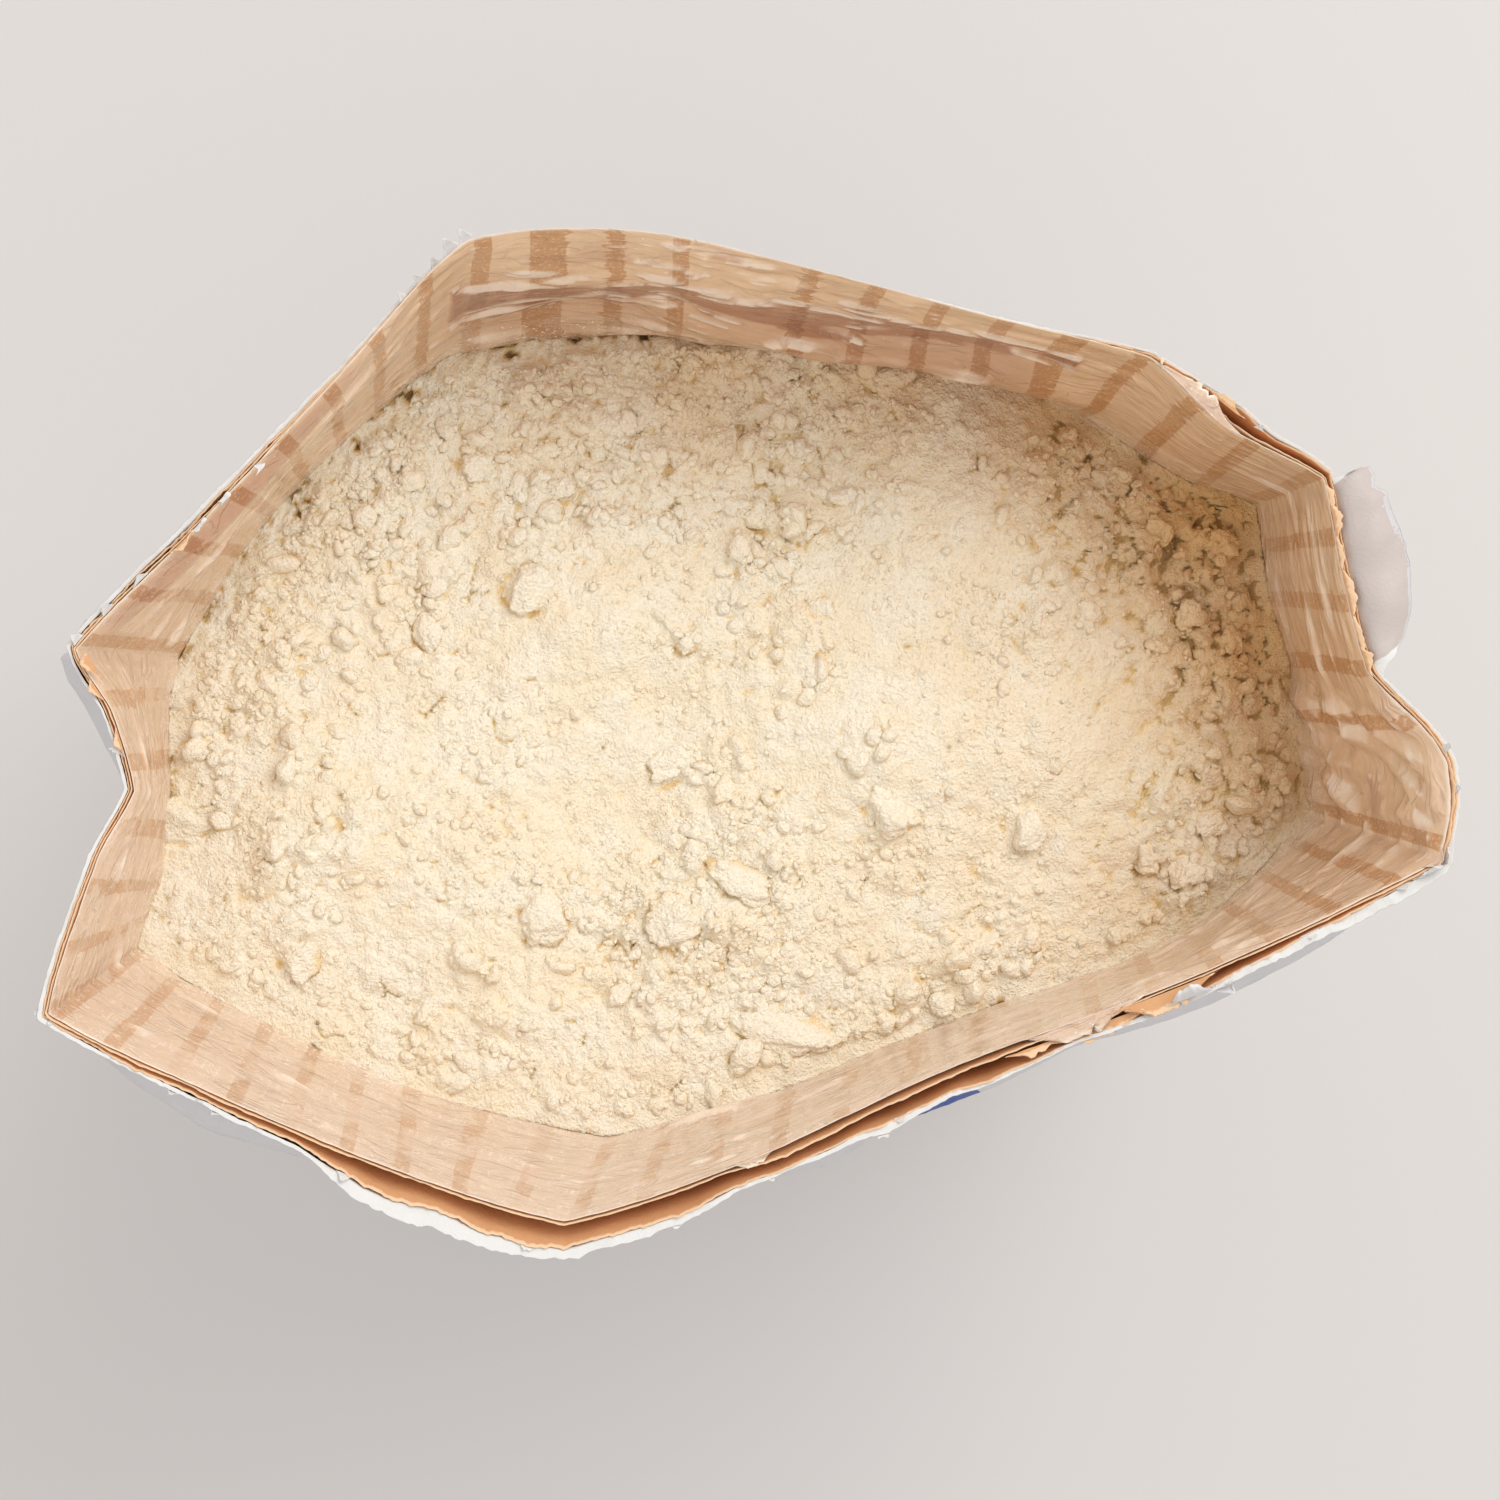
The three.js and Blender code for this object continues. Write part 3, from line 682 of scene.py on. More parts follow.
def make_film():
    """Kraft colour seen through film, with glue stripes and a pale haze where the film is less clear. It has
    painted shade where the film has come off the paper, painted highlights on folds tilted up and painted
    shade on those tilted down, and it is dusty near the mix."""
    material, tree, shader, place = start_material("film_on_kraft")
    parts = node(tree, "SeparateXYZ", {0: node(tree, "UVMap", uv_map="sheet").outputs[0]})
    crinkle = use_group(tree, FILM_CRINKLES, {"Around": parts.outputs[0], "Up": parts.outputs[1]})
    comb = times(tree, times(tree, crinkle["Hair"], crinkle["Patch"]), 6.0)
    away = plus(tree, read(tree, "from_stripe"), comb)
    speckle = node(tree, "TexNoise", {"Vector": place, "Scale": 950.0, "Detail": 1.0})
    patchy = node(tree, "TexNoise", {"Vector": place, "Scale": 60.0, "Detail": 1.0})
    clear = read(tree, "clear")
    dots = ramp(tree, speckle.outputs["Fac"], 0.56, 0.62, 1.0, 0.45)
    kept = plus(tree, patchy.outputs["Fac"], times(tree, clear, 0.5))
    whole = ramp(tree, kept, 0.62, 0.7, 0.25, 1.0)
    stripe = times(tree, ramp(tree, away, STRIPE_HALF - 0.2, STRIPE_HALF + 0.2, 1.0, 0.0), dots)
    strength = plus(tree, 0.35, times(tree, clear, 0.65))
    stripe = times(tree, times(tree, stripe, whole), strength)
    colour = mixed(tree, patchy.outputs["Fac"], FILM_PAPER, FILM_CLOUD)
    colour = mixed(tree, ramp(tree, crinkle["Hair"], -0.22, 0.22, 0.18, 0.0), colour, paint(196, 150, 118))
    haze = times(tree, minus(tree, 1.0, clear), 0.8)
    colour = mixed(tree, haze, colour, paint(225, 208, 196))
    scratch = times(tree, crinkle["Line"], minus(tree, 1.1, clear))
    colour = mixed(tree, scratch, colour, paint(246, 232, 216))
    colour = mixed(tree, stripe, colour, GLUE)
    # Painted shade, multiplied in where the film has come off the paper.
    colour = mixed(tree, times(tree, read(tree, "lifted_and_shaded"), 0.6), colour, PAINTED_LIFT_SHADE, "MULTIPLY")
    # Painted highlight where facets tilt up or crests glint, painted shade where they tilt down.
    tilt = read(tree, "tilt")
    colour = mixed(tree, ramp(tree, tilt, 0.25, 1.0, 0.0, 0.7), colour, paint(255, 240, 222))
    colour = mixed(tree, ramp(tree, tilt, -1.0, -0.25, 0.65, 0.0), colour, paint(146, 94, 66))
    colour = mixed(tree, read(tree, "edge"), colour, FILM_EDGE)
    dust = use_group(tree, MIX_DUST, {"Vector": place, "Nearness": read(tree, "dusty")})
    white = maths(tree, "MAXIMUM", dust["Specks"], times(tree, dust["Film"], 0.75))
    colour = mixed(tree, times(tree, white, 0.85), colour, DUST)
    tree.links.new(colour, shader.inputs["Base Color"])
    tree.links.new(ramp(tree, white, 0.0, 1.0, 0.42, 0.9), shader.inputs["Roughness"])
    tree.links.new(ramp(tree, white, 0.0, 0.8, 1.0, 0.1), shader.inputs["Coat Weight"])
    shader.inputs["Coat Roughness"].default_value = 0.1
    bump = node(tree, "Bump", {"Height": crinkle["Height"], "Strength": 0.6, "Distance": 0.0006})
    tree.links.new(bump.outputs[0], shader.inputs["Normal"])
    return material


FILM = make_film()


# %% Kraft and white paper
def make_paper(
    name, sheet_colour, cloud_colour, torn_colour, roughness, print_colour=None, inside_colour=None
):
    """A ply: cloudy sheet colour and paler fuzzy fibres where it is torn. The outer ply also has plain
    printed fields outside, and its inside is greyer, where the bleached fibres are only a skin."""
    material, tree, shader, place = start_material(name)
    fibres = use_group(tree, PAPER_FIBRES, {"Vector": place})
    colour = mixed(tree, fibres["Cloud"], sheet_colour, cloud_colour)
    if print_colour:
        parts = node(tree, "SeparateXYZ", {0: node(tree, "UVMap", uv_map="sheet").outputs[0]})
        printed = use_group(tree, PRINTED_FIELDS, {"Around": parts.outputs[0], "Up": parts.outputs[1]})
        colour = mixed(tree, printed["Inside"], colour, print_colour)
        colour = mixed(tree, read(tree, "inside"), colour, inside_colour)
    noise = node(tree, "TexNoise", {"Vector": place, "Scale": 700.0, "Detail": 2.0})
    edge = minus(tree, read(tree, "below_tear"), times(tree, noise.outputs["Fac"], 1.4))
    torn = ramp(tree, edge, 0.0, 0.7, 1.0, 0.0)
    colour = mixed(tree, torn, colour, torn_colour)
    tree.links.new(colour, shader.inputs["Base Color"])
    tree.links.new(ramp(tree, torn, 0.0, 1.0, roughness, 0.95), shader.inputs["Roughness"])
    shader.inputs["Specular IOR Level"].default_value = 0.3
    height = plus(tree, fibres["Cloud"], times(tree, fibres["Fibre"], 0.6))
    bump = node(tree, "Bump", {"Height": height, "Strength": 0.3, "Distance": 0.0003})
    tree.links.new(bump.outputs[0], shader.inputs["Normal"])
    return material


KRAFT = make_paper("kraft_paper", paint(226, 175, 129), paint(208, 153, 106), paint(240, 205, 168), 0.75)
TORN_WHITE = make_paper(
    "torn_white_paper", paint(222, 220, 221), paint(208, 204, 206), paint(228, 227, 225), 0.7,
)
WHITE = make_paper(
    "white_paper", paint(212, 210, 212), paint(201, 198, 201), paint(226, 225, 223), 0.5,
    print_colour=paint(46, 74, 150), inside_colour=paint(196, 185, 180),
)


# %% The mix's material
def make_mix():
    """Cream powder with painted shade: golden in its furrows, pits, cracks and hollows, and brown in the
    deepest and in the gaps at the liner, as light gathers colour between crumbs. Where the walls shade it,
    painted shade makes the powder warmer and its cracks browner. The upper parts of the lumps on the bed are
    paler than the powder."""
    material, tree, shader, place = start_material("mix_powder")
    crumb = use_group(tree, MIX_CRUMB, {"Vector": place})
    hollow = read(tree, "hollow")
    top = mixed(tree, ramp(tree, crumb["Tone"], 0.35, 0.65), paint(253, 245, 226), paint(252, 239, 213))
    top = mixed(tree, read(tree, "pale"), top, paint(253, 245, 226))
    # Painted shade, golden, in the grain's furrows and pits.
    top = mixed(tree, times(tree, crumb["Furrow"], 0.3), top, paint(244, 222, 180))
    top = mixed(tree, times(tree, crumb["Pits"], 0.4), top, paint(246, 222, 178))
    # Painted shade: browner where the walls shade the powder.
    colour = mixed(tree, read(tree, "painted_wall_shade"), top, paint(231, 187, 127))
    # Painted shade: golden in hollows and cracks, browner in those where the walls shade the mix.
    colour = mixed(tree, ramp(tree, hollow, 0.0, 1.0, 0.0, 0.9), colour, paint(239, 206, 146))
    shaded_hollow = times(tree, ramp(tree, hollow, 0.45, 1.0), read(tree, "painted_wall_shade"))
    colour = mixed(tree, times(tree, shaded_hollow, 0.75), colour, paint(150, 104, 58))
    # Painted shade, dark brown, in the deepest hollows and the gaps at the liner.
    colour = mixed(tree, ramp(tree, hollow, 1.0, 2.0), colour, paint(120, 80, 44))
    tree.links.new(colour, shader.inputs["Base Color"])
    shader.inputs["Roughness"].default_value = 0.95
    shader.inputs["Specular IOR Level"].default_value = 0.1
    bump = node(tree, "Bump", {"Height": crumb["Height"], "Strength": 0.9, "Distance": 0.0009})
    tree.links.new(bump.outputs[0], shader.inputs["Normal"])
    return material


MIX = make_mix()

# %% [markdown]
# ## The film liner
#
# Thin film on paper wrinkles in long fine lines round the mouth, breaks into flat facets with sharp creases
# between them where the sack was handled, and lifts off the paper here and there. All of that is a height
# over the wall, in mm, always towards the inside, so that the film never sinks into the paper behind it.

# %% Where the stripes are, counted round the mouth
STRIPE_COUNTS = [
    (15, 0), (160, 8), (258, 14), (374, 20), (513, 28), (622, 34), (716, 39), (859, 47), (898.5, 49),
]
STRIPES = 56
MISSING_STRIPES = (29, 43)
WIDE_STRIPES = {46: 2.6, 38: 1.2, 5: 1.0}  # by how many mm more to each side
FAR_OFF = 20  # mm, more than half a stripe's pitch


def stripe_count(u):
    """How many stripes have been passed at u mm round: straight between the places where they were
    counted."""
    first_place = STRIPE_COUNTS[0][0]
    pairs = STRIPE_COUNTS + [(first_place + ROUND, STRIPES)]
    places, counts = zip(*pairs)
    return np.interp(np.where(u < first_place, u + ROUND, u), places, counts)


def from_stripe(u, sway):
    """Mm to the middle of the nearest stripe. A missing stripe is far off, and a wide one is nearer all
    over."""
    passed = stripe_count(np.mod(u + sway, ROUND))
    nearest = np.round(passed)
    away = np.abs(passed - nearest) * STRIPE_PITCH
    away = away + FAR_OFF * np.isin(nearest % STRIPES, MISSING_STRIPES)
    for stripe, extra in WIDE_STRIPES.items():
        away = away - extra * (nearest % STRIPES == stripe)
    return away


# %% The film's relief
SEAM_FADE = 6  # mm to each side of where the round closes, over which relief dies out
# (mm round, how creased and lifted the film is there, 0 to 1)
HANDLED = [
    (0, 0.4), (40, 0.5), (105, 0.35), (180, 0.4), (250, 0.3), (300, 0.5), (360, 0.1), (440, 0.4),
    (509, 0.5), (550, 0.6), (575, 0.35), (600, 0.15), (640, 0.1), (700, 0.2), (720, 0.5), (800, 0.6),
    (868, 0.4), (960, 0.25),
]


def off_seam(u):
    """0 where the round closes, 1 further off, so that the noise on both sides needn't meet."""
    return smooth(0, SEAM_FADE, u) * (1 - smooth(ROUND - SEAM_FADE, ROUND, u))


def folded(x, y, seed, count=4):
    """Flat facets with sharp folds between, 0..1: triangle waves in drawn directions, each bent by
    ripples."""
    total = 0
    for k in range(count):
        turn = 2 * np.pi * draw(seed, k)
        way = (x * np.cos(turn) + y * np.sin(turn)) * (0.7 + 0.8 * draw(seed + 1, k))
        way = way + 0.9 * ripples(0.6 * x + 9 * k, 0.6 * y, seed + k)
        total = total + np.abs(np.mod(way, 1) - 0.5) * 2
    return total / count


def film_relief(u, up):
    """The film's height off the paper in mm, how far it is off the paper, 0 to 1, which also sets its painted
    shade, and its painted facet light, -1 painted shade where a facet tilts down to 1 painted highlight where
    it tilts up: thin lines round the mouth, long and short facets in patches, upright facets at the right
    front, and a band along the back panel's crease where the film has come off. A crest of the folds gets a
    painted glint, and so does the right end's back half, which faces the light. Low on the back panel the
    film is off the paper too."""
    sway = 4 * layered(u / 60, up / 30, 3, 2)
    handled = round_mouth(u, HANDLED)
    lines = np.clip(1 - np.abs(layered(u / 40, (up + sway) / 4.5, 11, 3)) / 0.12, 0, 1)
    here = smooth(-0.1, 0.35, layered(u / 45, up / 16, 36, 2) + 0.4 * (handled - 0.5))
    crossed = smooth(0.1, 0.4, layered(u / 26, up / 14, 37, 2) + 0.4 * (handled - 0.5))
    long_folds = folded(u / 42, (up + sway) / 11, 21) * blend(0.9, 4.2, handled) * blend(0.15, 1, here)
    steep = np.interp(u, [500, 518, 556, 566], [0, 1, 1, 0])
    short_folds = folded(u / 12, (up - sway) / 5, 31) * blend(0.2, 1.7, handled) * crossed
    short_folds = short_folds * (1 - 0.75 * steep)
    upright = folded((u + 0.5 * up) / 13, (up - 0.8 * u) / 36, 56, 3) * 5 * steep
    long_folds = blend(long_folds, 0.4 * long_folds + upright, steep)
    places, centres, widths, depths = (np.array(column, float) for column in zip(*BACK_CREASE))
    from_band = (up / COLLAR_HEIGHT - np.interp(u, places, centres)) / (1.3 * np.interp(u, places, widths))
    band = np.exp(-((from_band + 0.8 * ripples(u / 21, up / 40, 46)) ** 2))
    band = band * (np.interp(u, places, depths) > 0)
    band = smooth(0.35, 0.6, band + 0.7 * layered(u / 30, up / 2.6, 47, 2)) * smooth(0, 0.3, band)
    patches = smooth(0.2, 0.33, layered(u / 24, up / 6, 41, 3) + 0.3 * (handled - 0.5))
    lip = smooth(0.86, 0.9, up / COLLAR_HEIGHT) * np.interp(u, [895, 920, 1000, 1012], [0, 0.8, 0.8, 0])
    behind = np.interp(u, [690, 705, 765, 800, 860, 880], [0, 0.75, 0.75, 0.45, 0.45, 0])
    behind = behind * (1 - smooth(40, 60, up))
    # This share raises the film off the paper and also darkens its colour as painted shade.
    lifted_and_shaded = np.maximum(np.maximum(patches * smooth(0.2, 0.9, handled), 1.4 * band), np.maximum(lip, behind))
    relief = 0.14 * lines + long_folds + short_folds + 0.7 * lifted_and_shaded + 0.3
    relief = relief * off_seam(u)
    # The slope and the crests only colour the film, as painted facet light.
    slope = (np.roll(relief, -1, 0) - np.roll(relief, 1, 0)) / (np.roll(up, -1, 0) - np.roll(up, 1, 0))
    crest = np.clip(2 * relief - np.roll(relief, -1, 0) - np.roll(relief, 1, 0) - 0.25, 0, 1)
    facing_light = 0.5 * np.interp(u, [566, 585, 640, 655], [0, 1, 1, 0])
    return relief, lifted_and_shaded, np.clip(facing_light - 1.6 * slope + 2.5 * crest, -1, 1)


# %% The film liner
FILM_COLUMNS = 840
FILM_ROWS_SHOWN = 76
SHOWN_FROM = 0.94
BODY_ROWS = np.array([0, 0.03, 0.08, 0.16, 0.25, 0.4, 0.55, 0.7, 0.85])
COLLAR_HEIGHT = 78
HIDDEN_COLLAR = np.linspace(1, 1.97, 22)
PLY_STEP = 0.3
FILM_FLOOR = 3 * PLY_STEP + 0.22  # so that the outermost face stands on the floor
# (mm round, share) of how dusty the film is near the mix, and how clearly its stripes show
DUSTY = [
    (0, 0.6), (100, 0.6), (180, 0.7), (250, 0.55), (400, 0.5), (440, 0.9), (505, 1.0), (530, 0.5),
    (640, 0.4), (670, 0.8), (700, 0.6), (800, 0.5), (860, 0.7), (960, 0.6),
]
CLEAR = [
    (0, 0.6), (60, 0.5), (105, 0.4), (130, 0.35), (200, 0.3), (400, 0.25), (480, 0.55), (520, 0.85),
    (660, 0.9), (720, 1), (870, 0.9), (900, 0.75), (960, 0.75),
]


def film_tear(u):
    """How far the film's torn edge runs above or below the rim's line, in mm."""
    return 0.9 * layered(u / 17, u * 0, 61, 4) + 0.5 * layered(u / 4, u * 0, 67, 2)


def make_film_liner():
    """The liner's shell: an outer face with few rows, and an inner face with the relief that shows."""
    u = np.arange(FILM_COLUMNS) * ROUND / FILM_COLUMNS
    lift = film_tear(u) / COLLAR_HEIGHT
    s_out = np.concatenate([BODY_ROWS, HIDDEN_COLLAR])[:, None] + 0 * u
    s_out = np.concatenate([s_out, (2 + lift)[None]])
    s_in = np.concatenate([BODY_ROWS, np.linspace(SHOWN_FROM, 2, FILM_ROWS_SHOWN)])[:, None]
    s_in = s_in + lift * smooth(1.7, 2, s_in)
    outer = wall(u, s_out, FILM_FLOOR)
    square, _ = outwards(outer)
    outer = outer + square * 0.15
    inner = wall(u, s_in, FILM_FLOOR)
    square, _ = outwards(inner)
    up = (s_in - 1) * COLLAR_HEIGHT
    relief, lifted_and_shaded, tilt = film_relief(u, up)
    from_edge = (2 + lift - s_in) * COLLAR_HEIGHT
    relief = relief * smooth(0.0, 4.0, from_edge) * smooth(SHOWN_FROM - 0.05, 1.02, s_in)
    inner = inner - square * relief[..., None]
    inner[0, :, 2] += 0.3
    rings = np.concatenate([outer, inner[::-1]])
    flat_u = np.broadcast_to(u, s_out.shape), np.broadcast_to(u, s_in.shape)
    sheet_map = np.concatenate([
        np.stack([flat_u[0], (s_out - 1) * COLLAR_HEIGHT], -1),
        np.stack([flat_u[1], up], -1)[::-1],
    ])
    piece = shell("film_liner_sheet", rings, sheet_map)
    hidden = np.zeros(s_out.size)
    sway = 0.8 * layered(u / 40, up / 30, 51, 2)
    nearness = round_mouth(u, DUSTY) * (1 - smooth(0, 26, up))
    for name, shown, end in (
        ("from_stripe", from_stripe(u, sway), FAR_OFF),
        ("clear", round_mouth(u, CLEAR) + 0 * up, 0),
        ("lifted_and_shaded", lifted_and_shaded * smooth(0, 3, from_edge), 0),
        ("tilt", tilt * smooth(0, 4, from_edge) * smooth(-2, 2, up), 0),
        ("edge", 1 - smooth(0.2, 1.3, from_edge), 0),
        ("dusty", nearness, 0),
    ):
        note(piece, name, np.concatenate([hidden + end, shown[::-1].ravel(), [end, end]]))
    return piece


hand_in(make_film_liner(), "film_liner", FILM)

# %% [markdown]
# ## The paper plies
#
# Behind the film lie two kraft plies and the white outer ply. Where the sack was torn open they have come
# apart, most along the front: the middle ply leans out with its inner side lit, and the white ply's torn
# edge turns outwards as a ragged white band. At the right a tongue of the white ply folds out and hangs.
# Copies of the film's mesh, pushed outwards, would give even gaps. So each ply is the wall again, with its
# own gap, lean and torn edge.

# %% How the plies have come apart
# (mm round, mm) each: how far the middle ply stands off the liner at the rim, and the white ply off the
# middle one.
MIDDLE_OFF = [
    (0, 0.3), (18, 0.8), (41, 0.3), (105, 0.5), (150, 0.8), (180, 1.2), (206, 4), (255, 4), (304, 3.8),
    (325, 4.4), (367, 4.4), (400, 3.8), (439, 2.4), (465, 0.8), (509, 0.4), (592, 0.5), (620, 1), (649, 4),
    (677, 0.5), (718, 0), (863, 0), (916, 0.2), (970, 0.6),
]
WHITE_OFF = [
    (0, 0.2), (105, 0.3), (150, 0.3), (180, 0.5), (206, 2), (255, 2), (304, 1.2), (325, 0.7), (367, 0.7),
    (400, 0.5), (439, 0.3), (509, 0.2), (649, 1), (677, 0.5), (718, 0), (863, 0), (970, 0.2),
]
# How far the plies behind the film are torn off below its edge, which hides them along the back.
TORN_LOWER = [
    (0, 0.5), (30, 0), (600, 0), (655, 1), (680, 2), (705, 6), (850, 6), (880, 3), (930, 1), (1000, 0),
]
# How far the white ply bellies out below the rim.
BELLY_OUT = [
    (0, 3), (6, 10), (14, 11.5), (24, 8), (41, 2), (105, 2), (135, 9), (158, 12), (180, 8), (206, 2),
    (255, 1), (304, 2), (325, 7), (345, 4), (366, 6), (400, 4), (439, 7.5), (465, 8), (495, 6), (509, 1),
    (535, 0), (863, 0), (916, 0), (955, 2), (985, 7.5), (1005, 6),
]
# How far each ply leans out over its last stretch.
INNER_LEAN = [(0, 0.3), (300, 0.6), (318, 2.2), (380, 1.6), (430, 0.3), (640, 0.5), (655, 2.5), (676, 0.3)]
MIDDLE_LEAN = [
    (0, 0.5), (104, 0.5), (125, 1), (190, 1.5), (206, 3), (250, 3), (304, 1.5), (330, 1.2), (430, 1.5),
    (500, 0.5), (600, 0.5), (655, 1), (700, 0), (900, 0.2), (960, 0.6), (1000, 0.5),
]
WHITE_LEAN = [
    (0, 0.5), (104, 0.3), (206, 1.6), (255, 1.3), (304, 0.3), (430, 0.5), (500, 0.3), (700, 0), (960, 0.5),
]
# How wide the white ply's turned-out edge is, and at the right its tongue.
WHITE_BAND = [
    (0, 0.9), (60, 0.8), (100, 1.2), (118, 0.9), (186, 1.0), (198, 3.2), (215, 4.0), (240, 3.4), (255, 2.2),
    (285, 2.2), (300, 0.9), (330, 0.9), (345, 2.0), (360, 1.1), (400, 0.7), (440, 1.6), (470, 2.6),
    (495, 3.2), (507, 2.6), (515, 0.6), (564, 0.8), (566, 3.5), (571, 10), (577, 14.5), (584, 17),
    (592, 17.2), (600, 16.2), (606, 15.4), (609, 12.4), (611, 13.2), (614.5, 12), (616.2, 5), (617, 0.6),
    (700, 0.4), (860, 0.4), (900, 0.6), (960, 0.9),
]


def ragged(u, seed, swing):
    """A torn edge, in mm: long waves, short tears and fibres, each of its own noise."""
    waves = layered(u / 14, u * 0, seed, 3)
    tears = np.abs(layered(u / 4.5, u * 0 + 3, seed + 5, 3))
    fibres = draw(seed + 9, np.floor(u / 0.8)) - 0.5
    return swing * (waves + 0.8 * tears - 0.2 + 0.25 * fibres)


def stand_offs(u, s):
    """How far the plies have come apart at a point: mm of the middle ply off the liner, and of the white
    ply off it."""
    opened = np.clip(s - 1, 0, 1.1)
    bow = np.interp(s, [0.85, 1, 1.3, 1.6, 1.82, 1.95, 2], [0, 0.25, 0.7, 0.95, 1, 0.3, 0])
    uneven = 1 + 0.5 * layered(u / 23, u * 0, 121, 2)
    white_off = round_mouth(u, WHITE_OFF) * opened + round_mouth(u, BELLY_OUT) * bow
    return round_mouth(u, MIDDLE_OFF) * opened * uneven, white_off


# %% One ply as a shell
HIDDEN_ROWS = np.concatenate([BODY_ROWS, np.linspace(0.93, 1.9, 14)])
BEYOND_ROWS = 10  # rings past the torn edge


def ply(
    name, columns, shown_rows, hidden_rows, layer, stand, lean, tear,
    relief=None, thickness=0.2, beyond=None, torn=lambda u: 0,
):
    """A ply's shell. Each face is the wall moved out by its layer, plus stand(u, s) in the evened
    direction, plus lean(u) times the square of the way up its last 14 mm. relief(u, s) moves the outer face
    alone. beyond(face, evened, u, share, thickness) adds rings past the edge, and torn(u) is how far in the
    torn fibres reach."""
    u = np.arange(columns) * ROUND / columns
    lift = tear(u) / COLLAR_HEIGHT

    def face(rows, depth):
        """One face as rings, depth mm further out, with its own s and the evened directions."""
        s = rows[:, None] + lift * smooth(1.75, 2, rows[:, None])
        base = wall(u, s, max(0.0, FILM_FLOOR - layer * PLY_STEP - depth))
        square, evened = outwards(base)
        bend = np.clip((s - 1.8) / 0.2, 0, 1.2) ** 2 * lean(u)
        moved = base + square * (layer * PLY_STEP + depth) + evened * (stand(u, s) + bend)[..., None]
        if relief is not None and depth > 0:
            moved = moved + square * relief(u, s)[..., None]
        return moved, s, evened

    outer, s_out, evened_out = face(shown_rows if layer == 3 else hidden_rows, thickness)
    inner, s_in, evened_in = face(hidden_rows if layer == 3 else shown_rows, 0)
    inner[0, :, 2] += thickness
    over_out, over_in = [], []
    if beyond is not None:
        shares = np.linspace(0, 1, BEYOND_ROWS + 1)[1:]
        over_out = [beyond(outer[-1], evened_out[-1], u, share, thickness) for share in shares]
        over_in = [beyond(inner[-1], evened_in[-1], u, share, 0) for share in shares]
    rings = np.concatenate([outer, *[[r] for r in over_out], *[[r] for r in over_in[::-1]], inner[::-1]])
    past = len(over_out)
    rows_out = [(s_out - 1) * COLLAR_HEIGHT]
    rows_in = [((s_in - 1) * COLLAR_HEIGHT)[::-1]]
    if past:
        step = np.linspace(0, 1, past + 1)[1:, None] * round_mouth(u, WHITE_BAND)
        rows_out.append(rows_out[0][-1] + step)
        rows_in.insert(0, (rows_in[0][0] + step)[::-1])
    up = np.concatenate(rows_out + rows_in)
    sheet_map = np.stack([np.broadcast_to(u, up.shape), up], -1)
    piece = shell(name, rings, sheet_map)
    below_tear = np.maximum(up.max(0) - up - torn(u), 0)
    note(piece, "below_tear", np.append(below_tear.ravel(), [FAR_OFF, FAR_OFF]))
    return piece, u, rings, len(s_out) + past


# %% The two kraft plies
fine_rows = np.concatenate([BODY_ROWS, [0.93], np.linspace(1, 1.7, 12)[:-1], np.linspace(1.7, 2, 22)])

inner_ply, *_ = ply(
    "inner_kraft_sheet", 700, fine_rows, np.append(HIDDEN_ROWS, 2.0), 1,
    stand=lambda u, s: 0 * (u + s), lean=lambda u: round_mouth(u, INNER_LEAN),
    tear=lambda u: 0.6 + ragged(u, 71, 1.5) - round_mouth(u, TORN_LOWER),
)
hand_in(inner_ply, "kraft_ply_inner", KRAFT)

middle_ply, *_ = ply(
    "middle_kraft_sheet", 860, fine_rows, np.append(HIDDEN_ROWS, 2.0), 2,
    stand=lambda u, s: stand_offs(u, s)[0], lean=lambda u: round_mouth(u, MIDDLE_LEAN),
    tear=lambda u: 0.3 + ragged(u, 81, 1.8) - 1.1 * round_mouth(u, TORN_LOWER),
)
hand_in(middle_ply, "kraft_ply_middle", KRAFT)


# %% The white outer ply
TONGUE_RISE = 3.0
TONGUE_DROP = 2.5
DENT_HEIGHT = 280  # mm for one step of s, about half of the sack's height


def paper_relief(u, s):
    """Dents and wrinkles of the outer ply, in mm: broad dents, creased facets that are deeper round the
    neck and near the floor, and fine cross wrinkles under the mix line. It dies out at the very edge, and
    it is always outwards, so that the outer face never sinks into the plies behind it."""
    z = s * DENT_HEIGHT
    sway = 12 * layered(u / 90, z / 90, 5, 2)
    broad = 3.0 * layered(u / 120, (z + sway) / 70, 91, 3)
    near, second, own = cells((u + sway) / 62, (z + 0.2 * u + sway) / 30, 95)
    crease = np.exp(-(((second - near) / 0.07) ** 2)) * 1.2 + (own - 0.5) * near * 4.5
    near, second, own = cells((u - sway) / 34, (z - 0.3 * u + sway) / 18, 98)
    fine = np.exp(-(((second - near) / 0.09) ** 2)) * 0.5 + (own - 0.5) * near * 2.0
    neck = smooth(0.55, 0.95, s)
    foot = 1 - smooth(0.05, 0.22, s)
    amount = 0.6 + 0.5 * neck + 0.4 * foot
    ends = smooth(0, 0.03, s) * blend(1, 0.3, smooth(1.05, 1.45, s)) * (1 - smooth(1.8, 1.97, s))
    total = 2.2 + broad * (0.5 + 0.5 * neck) + crease * amount + fine * amount
    return (0.8 + np.log1p(np.exp(2 * (total - 0.8))) / 2) * ends * off_seam(u) * (s < 1.99)


def tongue_share(u):
    """0 where the white ply's edge is a narrow torn band, 1 where it is wide enough to be the tongue."""
    return smooth(4, 10, round_mouth(u, WHITE_BAND))


